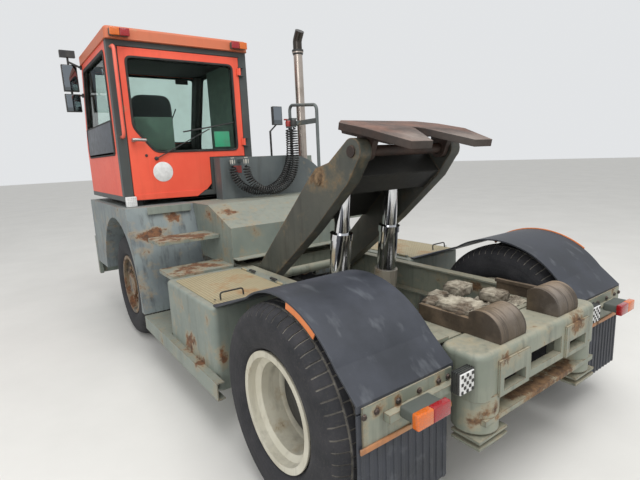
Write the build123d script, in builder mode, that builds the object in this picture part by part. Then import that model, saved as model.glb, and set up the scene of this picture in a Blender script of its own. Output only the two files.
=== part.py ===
from build123d import *
import os
from math import cos, sin, tan, atan2, hypot, radians, degrees, pi

os.makedirs("parts", exist_ok=True)

# Terminal tractor, in millimetres. +X is forward, +Y left, +Z up.
# The origin is on the ground, under the middle of the machine.

# Overall sizes
LENGTH = 5060.0
WHEELBASE = 3000.0
REAR_OVERHANG = 730.0
BODY_HALF = 1250.0
MIRROR_HALF = BODY_HALF + 140.0
REAR_X = -LENGTH / 2 + REAR_OVERHANG
FRONT_X = REAR_X + WHEELBASE
NOSE_X = LENGTH / 2
TAIL_X = -LENGTH / 2
FIT = 0.3
GAP = 6.0
PLATE = 8.0

# Wheels
TYRE_R = 530.0
TYRE_W = 290.0
RIM_R = 286.0
FLANGE_R = 300.0
RIM_W = 250.0
RIM_WALL = 9.0
DISC_T = 14.0
AXLE_Z = TYRE_R
TWIN_Y = BODY_HALF - 320.0
TWIN_PITCH = 330.0
TWIN_INNER_Y = TWIN_Y - TWIN_PITCH / 2 - TYRE_W / 2
FRONT_TRACK_Y = BODY_HALF - 205.0
KINGPIN_Y = FRONT_TRACK_Y - 165.0
KINGPIN_R = 26.0
HUB_R = 165.0
FRONT_HUB_R = 115.0
STUB_R = 42.0
PIN_FIT = 0.05

# Frame
RAIL_TOP = 850.0
RAIL_H = 230.0
RAIL_BOTTOM = RAIL_TOP - RAIL_H
RAIL_OUT_REAR = TWIN_INNER_Y - 70.0
RAIL_OUT_FRONT = RAIL_OUT_REAR - 120.0
RAIL_WEB = 12.0
RAIL_FLANGE = 78.0
CRANK_REAR_X = REAR_X + 1760.0
CRANK_FRONT_X = REAR_X + 2160.0
RAIL_REAR_X = REAR_X - 450.0
RAIL_FRONT_X = NOSE_X - 90.0

# Rear end
BEAM_HALF = RAIL_OUT_REAR + 15.0
BEAM_LEN = 245.0
BEAM_REAR_X = RAIL_REAR_X - BEAM_LEN
BEAM_BOTTOM = 620.0
BEAM_TOP = 845.0
BEAM_WALL = 16.0
BEAM_FACE = 40.0
BEAM_ROUND = 70.0
BEAM_EDGE = 28.0
RAMP_OUT = RAIL_OUT_REAR - 178.0
RAMP_IN = RAMP_OUT - 215.0
RAMP_TOP = 980.0

# Guards over the rear wheels
GUARD_R = TYRE_R + 48.0
GUARD_T = 10.0
GUARD_IN = RAIL_OUT_REAR + 50.0
GUARD_OUT = BODY_HALF - 78.0
FLAP_LOW = 250.0
FLAP_TOP = 620.0
GUARD_PLATE_TOP = 790.0
GUARD_PLATE_X = REAR_X - TYRE_R - 45.0

# Front wings, deck and steps
DECK_TOP = 1350.0
WING_IN = RAIL_OUT_REAR + 70.0
ARCH_R = 700.0
WING_REAR_TOP_X = REAR_X + 2500.0
WING_REAR_LOW_X = REAR_X + 2220.0
WING_LOW_Z = 430.0
WING_NOSE_X = NOSE_X - 110.0
STEP_TOP = 420.0
STEP_H = 115.0
STEP_IN = BODY_HALF - 240.0
STEP_REAR_X = REAR_X + 640.0
TREAD_OUT = BODY_HALF - 100.0
TREAD_T = 30.0
TREAD_ROUND = 22.0
TREADS = (
    # top height, rear edge and front edge from the rear axle
    (870.0, 1646.0, 1990.0),
    (1105.0, 1900.0, 2230.0),
)

# Side boxes
BOX_REAR_X = REAR_X + 755.0
BOX_FRONT_X = REAR_X + 1640.0
BOX_OUT = BODY_HALF - 50.0
BOX_IN = RAIL_OUT_REAR
BOX_LOW = 300.0
BOX_TOP = 856.0
BOX_WALL = 10.0
BOX_ROUND = 45.0
LID_T = 6.0
LID_ROUND = 26.0
LID_HINGE_R = 9.0

# Cab
CAB_REAR_X = REAR_X + 2668.0
CAB_FRONT_X = NOSE_X - 80.0
CAB_ROOF_FRONT_X = CAB_FRONT_X - 290.0
CAB_LEFT = BODY_HALF - 50.0
CAB_RIGHT = -152.0
CAB_LOW = DECK_TOP + 52.0
CAB_FLOOR_T = 48.0
CAB_SILL = CAB_LOW + CAB_FLOOR_T
CAB_HEAD = 2835.0
CAB_TOP = CAB_HEAD + 106.0
CAB_WALL = 50.0
POST_W = 84.0
POST_D = 72.0
SCREEN_LOW = CAB_SILL + 510.0
DOOR_T = 40.0
DOOR_NOTCH_Y = 335.0
DOOR_NOTCH_Z = CAB_SILL + 335.0
DOOR_HINGE_Y = CAB_RIGHT + POST_W + 4.0
DOOR_HINGE_X = CAB_REAR_X - 20.0
GLASS_T = 6.0

# Lift boom, told along its own line from the pivot to the plate's pin
BOOM_X = REAR_X + 1500.0
BOOM_Z = 750.0
PLATE_PIN_X = REAR_X + 270.0
PLATE_PIN_Z = 1760.0
CHEEK_OUT = RAIL_OUT_REAR - 98.0
CHEEK_T = 92.0
BOOM_SHAFT_R = 40.0
ROD_PIN_ALONG = 1218.0
ROD_PIN_ACROSS = 92.0
ROD_PIN_R = 26.0

# Lift cylinders
CYL_Y = 0.65 * (CHEEK_OUT - CHEEK_T)
CYL_FOOT_X = REAR_X + 755.0
CYL_FOOT_Z = 430.0
BARREL_R = 90.0
STAGE_R = 74.0
ROD_R = 54.0
BARREL_LEN = 430.0
STAGE_SHOWN = 350.0
COLLAR_H = 46.0
COLLAR_R = 82.0
CYL_PIN_R = 30.0
EYE_SLACK = 18.5

# Coupling plate
PLATE_TILT = 12.0
PLATE_HALF = 450.0
PLATE_FRONT = 263.0
PLATE_REAR = 369.0
PLATE_RISE = 147.0
PLATE_T = 42.0
PLATE_FALL = 30.0
PLATE_BREAK = 90.0
UNDERSIDE = 72.0
THROAT_R = 26.0
PIN_R = 34.0


def slab(x, y, z, mode=Mode.ADD):
    """Box between three pairs of limits."""
    with Locations(((x[0] + x[1]) / 2, (y[0] + y[1]) / 2, (z[0] + z[1]) / 2)):
        Box(abs(x[1] - x[0]), abs(y[1] - y[0]), abs(z[1] - z[0]), mode=mode)


def side_prism(points, y, mode=Mode.ADD, radius=0.0):
    """Prism with an outline in x and z, between two places in y."""
    with BuildSketch(Plane.XZ.offset(-max(y))) as outline:
        with BuildLine():
            Polyline(*points, close=True)
        make_face()
        if radius:
            fillet(outline.vertices(), radius)
    extrude(outline.sketch, amount=max(y) - min(y), mode=mode)


def cross_prism(points, x, mode=Mode.ADD, radius=0.0):
    """Prism with an outline in y and z, between two places in x."""
    with BuildSketch(Plane.YZ.offset(min(x))) as outline:
        with BuildLine():
            Polyline(*points, close=True)
        make_face()
        if radius:
            fillet(outline.vertices(), radius)
    extrude(outline.sketch, amount=max(x) - min(x), mode=mode)


def plan_prism(points, z, mode=Mode.ADD, radius=0.0):
    """Prism with an outline in x and y, between two heights."""
    with BuildSketch(Plane.XY.offset(min(z))) as outline:
        with BuildLine():
            Polyline(*points, close=True)
        make_face()
        if radius:
            fillet(outline.vertices(), radius)
    extrude(outline.sketch, amount=max(z) - min(z), mode=mode)


def rod_between(start, end, radius, mode=Mode.ADD):
    """Round bar from one point to another."""
    a = Vector(*start)
    b = Vector(*end)
    with BuildSketch(Plane(origin=a, z_dir=(b - a))) as disc:
        Circle(radius)
    extrude(disc.sketch, amount=(b - a).length, mode=mode)


def bar_y(x, z, y, radius, mode=Mode.ADD):
    """Round bar along y."""
    rod_between((x, min(y), z), (x, max(y), z), radius, mode)


def bar_z(x, y, z, radius, mode=Mode.ADD):
    """Upright round bar."""
    rod_between((x, y, min(z)), (x, y, max(z)), radius, mode)


def bar_x(y, z, x, radius, mode=Mode.ADD):
    """Round bar along x."""
    rod_between((min(x), y, z), (max(x), y, z), radius, mode)


def tube_path(points, radius, bends):
    """Bent round bar along straight runs joined by tangent arcs."""
    with BuildLine() as path:
        FilletPolyline(*points, radius=bends)
    with BuildSketch(path.line ^ 0) as disc:
        Circle(radius)
    sweep(disc.sketch, path=path.line)


def spin_ring(points, x, y):
    """Ring about an axle: outline points are (place outward in y, radius)."""
    with BuildSketch(Plane(origin=(x, y, AXLE_Z), x_dir=(0, 1, 0), z_dir=(1, 0, 0))) as section:
        with BuildLine():
            Polyline(*points, close=True)
        make_face()
    revolve(section.sketch, axis=Axis((x, y, AXLE_Z), (0, 1, 0)))


def finish(builder, name):
    builder.part.label = name
    export_step(builder.part, f"parts/{name}.step")


# Frame
RAIL_LINE = (
    # x, outer face
    (RAIL_REAR_X, RAIL_OUT_REAR),
    (CRANK_REAR_X, RAIL_OUT_REAR),
    (CRANK_FRONT_X, RAIL_OUT_FRONT),
    (RAIL_FRONT_X, RAIL_OUT_FRONT),
)


def rail_band(width):
    outer = [(x, y) for x, y in RAIL_LINE]
    inner = [(x, y - width) for x, y in reversed(RAIL_LINE)]
    return outer + inner


CROSS_MEMBERS = (
    # x from the rear axle, length along x, bottom, top
    (-330.0, 90.0, RAIL_BOTTOM, RAIL_BOTTOM + 60.0),
    (1680.0, 60.0, RAIL_BOTTOM + 60.0, RAIL_TOP),
    (RAIL_FRONT_X - 50.0 - REAR_X, 80.0, RAIL_BOTTOM, RAIL_TOP),
)
FLOOR_PLATE_X = REAR_X - 170.0
with BuildPart() as chassis_frame:
    plan_prism(rail_band(RAIL_WEB), (RAIL_BOTTOM, RAIL_TOP))
    plan_prism(rail_band(RAIL_FLANGE), (RAIL_BOTTOM, RAIL_BOTTOM + RAIL_WEB))
    plan_prism(rail_band(RAIL_FLANGE), (RAIL_TOP - RAIL_WEB, RAIL_TOP))
    mirror(about=Plane.XZ)
    for cross_x, cross_len, low, high in CROSS_MEMBERS:
        x = REAR_X + cross_x
        half = (RAIL_OUT_REAR if x < CRANK_FRONT_X else RAIL_OUT_FRONT) - RAIL_WEB
        slab((x - cross_len / 2, x + cross_len / 2), (-half, half), (low, high))
    floor_half = RAIL_OUT_REAR - RAIL_WEB
    slab((RAIL_REAR_X, FLOOR_PLATE_X), (-floor_half, floor_half), (RAIL_TOP - RAIL_WEB - PLATE, RAIL_TOP - RAIL_WEB))
    for side in (-1, 1):
        web = side * (RAIL_OUT_REAR - RAIL_WEB / 2)
        side_prism(
            [
                (CYL_FOOT_X - 150, RAIL_BOTTOM + 40),
                (CYL_FOOT_X + 150, RAIL_BOTTOM + 40),
                (CYL_FOOT_X + 70, CYL_FOOT_Z - 70),
                (CYL_FOOT_X - 70, CYL_FOOT_Z - 70),
            ],
            (web - RAIL_WEB / 2, web + RAIL_WEB / 2),
        )
        boom_boss = (side * (CHEEK_OUT + GAP), side * (RAIL_OUT_REAR - RAIL_WEB / 2))
        bar_y(BOOM_X, BOOM_Z, boom_boss, BOOM_SHAFT_R + 28)
    bar_y(CYL_FOOT_X, CYL_FOOT_Z, (-RAIL_OUT_REAR + RAIL_WEB / 2, RAIL_OUT_REAR - RAIL_WEB / 2), CYL_PIN_R)
    bar_y(BOOM_X, BOOM_Z, (-RAIL_OUT_REAR + RAIL_WEB / 2, RAIL_OUT_REAR - RAIL_WEB / 2), BOOM_SHAFT_R)
finish(chassis_frame, "chassis_frame")

# Cast cross member at the back, with pads round its windows, the underrun bar on its drums and the guards' plates
WINDOWS = (
    # middle and half width as shares of the beam's half width, bottom, top, pad's rise over the face
    (0.0, 0.265, 660.0, 750.0, 0.0),
    (0.545, 0.160, 645.0, 705.0, 12.0),
    (-0.545, 0.160, 645.0, 705.0, 12.0),
)
PAD_EDGE = 34.0
PAD_TOP = 795.0
DRUM_X = RAIL_REAR_X - 140.0
DRUM_Y = 0.8 * BEAM_HALF
DRUM_R = 110.0
DRUM_LOW = 455.0
SHOE_X = (TAIL_X + 34.0, DRUM_X + 50.0)
SHOES = (
    # bottom, top of the drums' flat plates
    (395.0, 409.0),
    (428.0, 442.0),
)
PLANK_X = (TAIL_X + 30.0, TAIL_X + 150.0)
PLANK_Z = (505.0, 532.0)
CARRIER_Z = 715.0
CARRIER_W = 36.0
with BuildPart() as rear_beam:
    with BuildSketch(Plane.XY.offset(BEAM_BOTTOM)) as beam_plan:
        with Locations(((BEAM_REAR_X + RAIL_REAR_X) / 2, 0)):
            RectangleRounded(BEAM_LEN, 2 * BEAM_HALF, BEAM_ROUND)
    extrude(beam_plan.sketch, amount=BEAM_TOP - BEAM_BOTTOM)
    fillet(rear_beam.edges().group_by(Axis.Z)[-1], BEAM_EDGE)
    slab(
        (BEAM_REAR_X + BEAM_FACE, RAIL_REAR_X - BEAM_WALL),
        (-BEAM_HALF + BEAM_FACE, BEAM_HALF - BEAM_FACE),
        (BEAM_BOTTOM - 1, BEAM_TOP - BEAM_WALL),
        Mode.SUBTRACT,
    )
    for middle_share, half_share, low, high, rise in WINDOWS:
        mid = middle_share * BEAM_HALF
        half = half_share * BEAM_HALF
        if rise:
            slab(
                (BEAM_REAR_X - rise, BEAM_REAR_X + BEAM_FACE / 2),
                (mid - half - PAD_EDGE, mid + half + PAD_EDGE),
                (BEAM_BOTTOM, PAD_TOP),
            )
        slab(
            (BEAM_REAR_X - rise - 1, BEAM_REAR_X + BEAM_FACE + 1),
            (mid - half, mid + half),
            (low, high),
            Mode.SUBTRACT,
        )
    for side in (-1, 1):
        plate_y = (side * (GUARD_IN + 20), side * (GUARD_OUT - 20))
        slab((GUARD_PLATE_X - PLATE, GUARD_PLATE_X), plate_y, (FLAP_TOP, GUARD_PLATE_TOP))
        slab(
            (GUARD_PLATE_X - PLATE - CARRIER_W, GUARD_PLATE_X - PLATE),
            (side * (BEAM_HALF - BEAM_FACE + 10), side * (GUARD_OUT - 130)),
            (CARRIER_Z - CARRIER_W / 2, CARRIER_Z + CARRIER_W / 2),
        )
        drum_y = side * DRUM_Y
        bar_z(DRUM_X, drum_y, (DRUM_LOW, BEAM_BOTTOM + BEAM_WALL), DRUM_R)
        bar_z(DRUM_X, drum_y, (SHOES[0][0], DRUM_LOW + 1), DRUM_R / 2)
        for low, high in SHOES:
            slab(SHOE_X, (drum_y - DRUM_R, drum_y + DRUM_R), (low, high))
    slab(PLANK_X, (-BEAM_HALF + BEAM_FACE, BEAM_HALF - BEAM_FACE), PLANK_Z)
finish(rear_beam, "rear_beam")

# Pick-up ramps: each a curved steel top on two side plates, with a strip running forward over the floor plate
RAMP_FRONT_X = RAIL_REAR_X - 40.0
RAMP_CREST_X = RAIL_REAR_X - 120.0
RAMP_REAR_X = BEAM_REAR_X + BEAM_EDGE + 2.0
RAMP_T = 14.0
STRIP_TOP = 925.0
STRIP_T = 20.0
STRIP_W = 26.0
RAMP_SHELLS = (
    # thickness left over the outline, inset from each side, mode
    (0.0, 0.0, Mode.ADD),
    (RAMP_T, RAMP_T, Mode.SUBTRACT),
)
with BuildPart() as guide_ramps:
    for inset, edge, mode in RAMP_SHELLS:
        with BuildSketch(Plane.XZ.offset(-RAMP_OUT + edge)) as ramp_side:
            with BuildLine():
                crown = ThreePointArc(
                    (RAMP_FRONT_X, RAMP_TOP - 22 - inset),
                    (RAMP_CREST_X, RAMP_TOP - inset),
                    (RAMP_REAR_X + inset, BEAM_TOP),
                )
                Polyline(crown @ 1, (RAMP_FRONT_X, BEAM_TOP), crown @ 0)
            make_face()
        extrude(ramp_side.sketch, amount=RAMP_OUT - RAMP_IN - 2 * edge, mode=mode)
    slab((RAMP_FRONT_X - RAMP_T, RAMP_FRONT_X), (RAMP_IN, RAMP_OUT), (RAMP_TOP - 100, RAMP_TOP - 30))
    slab((RAMP_FRONT_X - 1, FLOOR_PLATE_X), (RAMP_OUT - STRIP_W, RAMP_OUT), (STRIP_TOP - STRIP_T, STRIP_TOP))
    slab((RAMP_FRONT_X - 1, RAIL_REAR_X), (RAMP_OUT - PLATE, RAMP_OUT), (BEAM_TOP, STRIP_TOP - 1))
    slab((RAIL_REAR_X, FLOOR_PLATE_X), (RAMP_OUT - PLATE, RAMP_OUT), (RAIL_TOP - RAIL_WEB, STRIP_TOP - 1))
    mirror(about=Plane.XZ)
finish(guide_ramps, "guide_ramps")

# Rear axle
AXLE_R = 74.0
BOWL_R = 200.0
BRAKE_R = 205.0
BRAKE_W = 180.0
BRAKE_Y = 560.0
with BuildPart() as rear_axle:
    bar_y(REAR_X, AXLE_Z, (-TWIN_Y, TWIN_Y), AXLE_R)
    with BuildSketch(Plane(origin=(REAR_X, 0, AXLE_Z), x_dir=(0, 1, 0), z_dir=(1, 0, 0))):
        with BuildLine():
            arc = ThreePointArc((-260, AXLE_R - 10), (0, BOWL_R), (260, AXLE_R - 10))
            Polyline(arc @ 1, (260, 0), (-260, 0), arc @ 0)
        make_face()
    revolve(axis=Axis((REAR_X, 0, AXLE_Z), (0, 1, 0)))
    bar_x(0, AXLE_Z, (REAR_X, REAR_X + 330), 95)
    for side in (-1, 1):
        saddle = (side * (RAIL_OUT_REAR - RAIL_FLANGE), side * RAIL_OUT_REAR)
        slab((REAR_X - 130, REAR_X + 130), saddle, (AXLE_Z, RAIL_BOTTOM))
        bar_y(REAR_X, AXLE_Z, (side * (TWIN_Y - 60), side * (TWIN_Y + 40)), 100)
finish(rear_axle, "rear_axle")

# Front axle: drop beam, kingpin eyes, leaf springs with their hangers
SPRING_Y = RAIL_OUT_FRONT - 58.0
SPRING_HALF = 560.0
SPRING_W = 80.0
EYE_HALF = 75.0
BEAM_Z = 455.0
with BuildPart() as front_axle:
    cross_prism(
        [
            (-KINGPIN_Y, AXLE_Z + 45),
            (-KINGPIN_Y + 120, AXLE_Z + 40),
            (-KINGPIN_Y + 260, BEAM_Z + 50),
            (KINGPIN_Y - 260, BEAM_Z + 50),
            (KINGPIN_Y - 120, AXLE_Z + 40),
            (KINGPIN_Y, AXLE_Z + 45),
            (KINGPIN_Y, AXLE_Z - 45),
            (KINGPIN_Y - 120, AXLE_Z - 50),
            (KINGPIN_Y - 260, BEAM_Z - 50),
            (-KINGPIN_Y + 260, BEAM_Z - 50),
            (-KINGPIN_Y + 120, AXLE_Z - 50),
            (-KINGPIN_Y, AXLE_Z - 45),
        ],
        (FRONT_X - 50, FRONT_X + 50),
    )
    for side in (-1, 1):
        bar_z(FRONT_X, side * KINGPIN_Y, (AXLE_Z - 45, AXLE_Z + 45), 55)
        for leaf in range(3):
            reach = SPRING_HALF - 150 * leaf
            z = BEAM_Z + 86 - 18 * leaf
            slab(
                (FRONT_X - reach, FRONT_X + reach),
                (side * (SPRING_Y - SPRING_W / 2), side * (SPRING_Y + SPRING_W / 2)),
                (z, z + 18),
            )
        for end in (-1, 1):
            x = FRONT_X + end * (SPRING_HALF - 30)
            slab(
                (x - 35, x + 35),
                (side * (SPRING_Y - SPRING_W / 2 + 5), side * (SPRING_Y + SPRING_W / 2 - 5)),
                (BEAM_Z + 86, RAIL_BOTTOM),
            )
        bar_z(FRONT_X, side * KINGPIN_Y, (AXLE_Z - 60, AXLE_Z + 60), KINGPIN_R + PIN_FIT, Mode.SUBTRACT)
finish(front_axle, "front_axle")

# Knuckles: fork round the axle's eye, kingpin, stub axle and steering arm
FORK_GAP = 4.0
FORK_T = 34.0
for side, hand in ((1, "left"), (-1, "right")):
    with BuildPart() as knuckle:
        y = side * KINGPIN_Y
        eye = 45 + FORK_GAP
        for low, high in ((AXLE_Z + eye, AXLE_Z + eye + FORK_T), (AXLE_Z - eye - FORK_T, AXLE_Z - eye)):
            slab((FRONT_X - 52, FRONT_X + 52), (y - side * 45, y + side * 92), (low, high))
        slab((FRONT_X - 60, FRONT_X + 60), (y + side * 62, y + side * 96), (AXLE_Z - eye - FORK_T, AXLE_Z + eye + FORK_T))
        bar_z(FRONT_X, y, (AXLE_Z - eye - FORK_T, AXLE_Z + eye + FORK_T), KINGPIN_R)
        bar_y(FRONT_X, AXLE_Z, (y + side * 90, side * (FRONT_TRACK_Y + 70)), STUB_R)
        slab((FRONT_X - 190, FRONT_X - 50), (y - side * 20, y + side * 20), (AXLE_Z - eye - FORK_T, AXLE_Z - eye - 8))
    finish(knuckle, f"knuckle_{hand}")

# Tyres and rims
TYRE_LINE = (
    # place across the tyre as a share of half its width, radius
    (-0.755, RIM_R + 3),
    (-0.785, FLANGE_R + 4),
    (-0.98, RIM_R + 60),
    (-1.00, RIM_R + 105),
    (-0.94, RIM_R + 170),
    (-0.84, TYRE_R - 22),
    (-0.70, TYRE_R - 3),
    (0.0, TYRE_R),
    (0.70, TYRE_R - 3),
    (0.84, TYRE_R - 22),
    (0.94, RIM_R + 170),
    (1.00, RIM_R + 105),
    (0.98, RIM_R + 60),
    (0.785, FLANGE_R + 4),
    (0.755, RIM_R + 3),
    (0.66, RIM_R + 3),
    (0.84, RIM_R + 100),
    (0.74, TYRE_R - 48),
    (-0.74, TYRE_R - 48),
    (-0.84, RIM_R + 100),
    (-0.66, RIM_R + 3),
)


def tyre_ring(x, y):
    spin_ring([(share * TYRE_W / 2, radius) for share, radius in TYRE_LINE], x, y)


def rim_ring(x, y, face, seat, hub_r):
    """Rim barrel with flanges and a dished disc from the hub's face out to its seat in the barrel."""
    half = RIM_W / 2
    spin_ring(
        [
            (-half, FLANGE_R),
            (-half, RIM_R - 20),
            (-half + 40, RIM_R - 26),
            (-half + 60, RIM_R - 55),
            (half - 60, RIM_R - 55),
            (half - 40, RIM_R - 26),
            (half, RIM_R - 20),
            (half, FLANGE_R),
            (half - 10, FLANGE_R),
            (half - 14, RIM_R + 3 - FIT),
            (half - 32, RIM_R + 3 - FIT),
            (half - 42, RIM_R - 14),
            (half - 66, RIM_R - 55 + RIM_WALL),
            (-half + 66, RIM_R - 55 + RIM_WALL),
            (-half + 42, RIM_R - 14),
            (-half + 32, RIM_R + 3 - FIT),
            (-half + 14, RIM_R + 3 - FIT),
            (-half + 10, FLANGE_R),
        ],
        x,
        y,
    )
    spin_ring(
        [
            (face, hub_r - 20),
            (face, hub_r + 30),
            (seat, RIM_R - 54),
            (seat + DISC_T, RIM_R - 54),
            (face + DISC_T, hub_r + 30),
            (face + DISC_T, hub_r - 20),
        ],
        x,
        y,
    )


for side, hand in ((1, "left"), (-1, "right")):
    with BuildPart() as front_tyre:
        tyre_ring(FRONT_X, side * FRONT_TRACK_Y)
    finish(front_tyre, f"front_tyre_{hand}")
    with BuildPart() as front_rim:
        disc = side * 60 - DISC_T / 2
        rim_ring(FRONT_X, side * FRONT_TRACK_Y, disc, disc - side * 26, FRONT_HUB_R)
        bar_y(FRONT_X, AXLE_Z, (side * (KINGPIN_Y + 110), side * (FRONT_TRACK_Y + 110)), FRONT_HUB_R)
        bar_y(FRONT_X, AXLE_Z, (side * (KINGPIN_Y + 100), side * (FRONT_TRACK_Y + 70 + GAP)), STUB_R + PIN_FIT, Mode.SUBTRACT)
    finish(front_rim, f"front_rim_{hand}")
    with BuildPart() as rear_tyres:
        for place in (-1, 1):
            tyre_ring(REAR_X, side * (TWIN_Y + place * TWIN_PITCH / 2))
    finish(rear_tyres, f"rear_tyres_{hand}")
    with BuildPart() as rear_rims:
        for place in (-1, 1):
            y = side * (TWIN_Y + place * TWIN_PITCH / 2)
            facing = -side * place
            disc = facing * (TWIN_PITCH - DISC_T) / 2 - DISC_T / 2
            seat = facing * (RIM_W / 2 - 75) - DISC_T / 2
            rim_ring(REAR_X, y, disc, seat, HUB_R)
        bar_y(REAR_X, AXLE_Z, (side * (TWIN_Y - 150), side * (TWIN_Y + 120)), HUB_R - 15)
        bar_y(REAR_X, AXLE_Z, (side * (TWIN_Y - 160), side * (TWIN_Y + 40 + GAP)), 100 + PIN_FIT, Mode.SUBTRACT)
    finish(rear_rims, f"rear_rims_{hand}")

# Rubber guards over the twin wheels: from the side box's top, round the tyre, to the steel back plate
GUARD_RISE = 58.0
GUARD_FALL = 140.0
GUARD_LAP = 30.0


def guard_point(angle):
    """Point on the guard's middle line; the angle is from straight ahead, upwards."""
    turn = radians(angle)
    radius = GUARD_R + GUARD_T / 2
    return (REAR_X + radius * cos(turn), AXLE_Z + radius * sin(turn))


FLAP_RIBS = 12
GUARD_TAIL_X = GUARD_PLATE_X + GUARD_T / 2
with BuildPart() as rear_mudguards:
    with BuildSketch(Plane.XZ.offset(-GUARD_OUT)) as guard_line:
        with BuildLine():
            lap_z = BOX_TOP + GUARD_T / 2
            Line((BOX_REAR_X + GUARD_LAP, lap_z), (BOX_REAR_X - GUARD_T, lap_z))
            Line((BOX_REAR_X - GUARD_T, lap_z), guard_point(GUARD_RISE))
            ThreePointArc(guard_point(GUARD_RISE), guard_point(90), guard_point(GUARD_FALL))
            Line(guard_point(GUARD_FALL), (GUARD_TAIL_X, GUARD_PLATE_TOP + GUARD_T))
            Line((GUARD_TAIL_X, GUARD_PLATE_TOP + GUARD_T), (GUARD_TAIL_X, GUARD_PLATE_TOP - 2 * GUARD_T))
        trace(line_width=GUARD_T)
    extrude(guard_line.sketch, amount=GUARD_OUT - GUARD_IN)
    slab(
        (GUARD_PLATE_X, GUARD_PLATE_X + GUARD_T),
        (GUARD_IN + 40, GUARD_OUT),
        (FLAP_LOW, GUARD_PLATE_TOP - 3 * GUARD_T),
    )
    for rib in range(FLAP_RIBS):
        y = GUARD_IN + 60 + rib * (GUARD_OUT - GUARD_IN - 80) / (FLAP_RIBS - 1)
        slab((GUARD_PLATE_X - 4, GUARD_PLATE_X), (y - 8, y + 8), (FLAP_LOW, FLAP_TOP - 1))
    mirror(about=Plane.XZ)
finish(rear_mudguards, "rear_mudguards")

# Side boxes: folded sheet, open where the lid lies
LID_X = (BOX_REAR_X + 40, BOX_FRONT_X - 90)
LID_Y = (BOX_IN + 80, BOX_OUT - 45)
BOX_NAMES = ((1, "battery_box"), (-1, "right_box"))
for side, name in BOX_NAMES:
    with BuildPart() as side_box:
        with BuildSketch(Plane.XY.offset(BOX_LOW)) as footprint:
            with BuildLine():
                Polyline(
                    (BOX_REAR_X, side * BOX_IN),
                    (BOX_FRONT_X, side * BOX_IN),
                    (BOX_FRONT_X, side * BOX_OUT),
                    (BOX_REAR_X, side * BOX_OUT),
                    close=True,
                )
            make_face()
            fillet(footprint.vertices().sort_by(lambda v: abs(v.Y))[-2:], BOX_ROUND)
        extrude(footprint.sketch, amount=BOX_TOP - BOX_LOW)
        fillet(side_box.faces().sort_by(Axis.Z)[-1].edges().filter_by(lambda e: abs(e.center().Y) > BOX_IN + 5), 22)
        with BuildSketch(Plane.XY.offset(BOX_LOW + BOX_WALL)) as room:
            offset(footprint.sketch, amount=-BOX_WALL)
        extrude(room.sketch, amount=BOX_TOP - BOX_LOW - 2 * BOX_WALL, mode=Mode.SUBTRACT)
        slab(
            (LID_X[0] + 14, LID_X[1] - 14),
            (side * (LID_Y[0] + 14), side * (LID_Y[1] - 14)),
            (BOX_TOP - BOX_WALL - 1, BOX_TOP + 1),
            Mode.SUBTRACT,
        )
        for end in (LID_X[0] + 100, LID_X[1] - 100):
            bar_x(side * (LID_Y[0] - LID_HINGE_R - 2), BOX_TOP + LID_HINGE_R, (end - 60, end + 60), LID_HINGE_R - 4)
            for block in (end - 60, end + 40):
                slab(
                    (block, block + 20),
                    (side * (LID_Y[0] - 2 * LID_HINGE_R - 4), side * (LID_Y[0] - 4)),
                    (BOX_TOP, BOX_TOP + 2 * LID_HINGE_R),
                )
    finish(side_box, name)
    with BuildPart() as lid:
        plan_prism(
            [
                (LID_X[0], side * LID_Y[0]),
                (LID_X[1], side * LID_Y[0]),
                (LID_X[1], side * LID_Y[1]),
                (LID_X[0], side * LID_Y[1]),
            ],
            (BOX_TOP, BOX_TOP + LID_T),
            Mode.ADD,
            LID_ROUND,
        )
        for end in (LID_X[0] + 100, LID_X[1] - 100):
            hinge_y = side * (LID_Y[0] - LID_HINGE_R - 2)
            bar_x(hinge_y, BOX_TOP + LID_HINGE_R, (end - 38, end + 38), LID_HINGE_R)
            slab((end - 38, end + 38), (hinge_y, side * (LID_Y[0] + 2)), (BOX_TOP, BOX_TOP + LID_T))
            bar_x(hinge_y, BOX_TOP + LID_HINGE_R, (end - 39, end + 39), LID_HINGE_R - 4 + PIN_FIT, Mode.SUBTRACT)
    finish(lid, "battery_lid" if side > 0 else "right_lid")

# Front wings: a skin over the wheel, its arch liner and the leaning column behind the wheel
SKIN = 8.0
NOSE_LOW_Z = 600.0


def wing_line(inset):
    """Side outline of a wing as a polygon, moved inwards by an inset."""
    lean = (WING_REAR_TOP_X - WING_REAR_LOW_X) / (DECK_TOP - WING_LOW_Z)
    return [
        (WING_REAR_TOP_X + inset, DECK_TOP - inset),
        (WING_NOSE_X - inset, DECK_TOP - inset),
        (WING_NOSE_X - inset, NOSE_LOW_Z + inset),
        (FRONT_X, NOSE_LOW_Z + inset),
        (FRONT_X, WING_LOW_Z + inset),
        (WING_REAR_LOW_X + inset + lean * inset, WING_LOW_Z + inset),
    ]


WING_SHELLS = (
    # inset, inner end, mode
    (0.0, WING_IN, Mode.ADD),
    (SKIN, WING_IN - 1, Mode.SUBTRACT),
)
with BuildPart() as front_fenders:
    for side in (-1, 1):
        for inset, inner_y, mode in WING_SHELLS:
            near = side * inner_y
            far = side * (BODY_HALF - inset)
            with BuildSketch(Plane.XZ.offset(-max(near, far))) as wing_side:
                with BuildLine():
                    Polyline(*wing_line(inset), close=True)
                make_face()
                with Locations((FRONT_X, AXLE_Z)):
                    Circle(ARCH_R + inset, mode=Mode.SUBTRACT)
            extrude(wing_side.sketch, amount=abs(far - near), mode=mode)
finish(front_fenders, "front_fenders")

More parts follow.
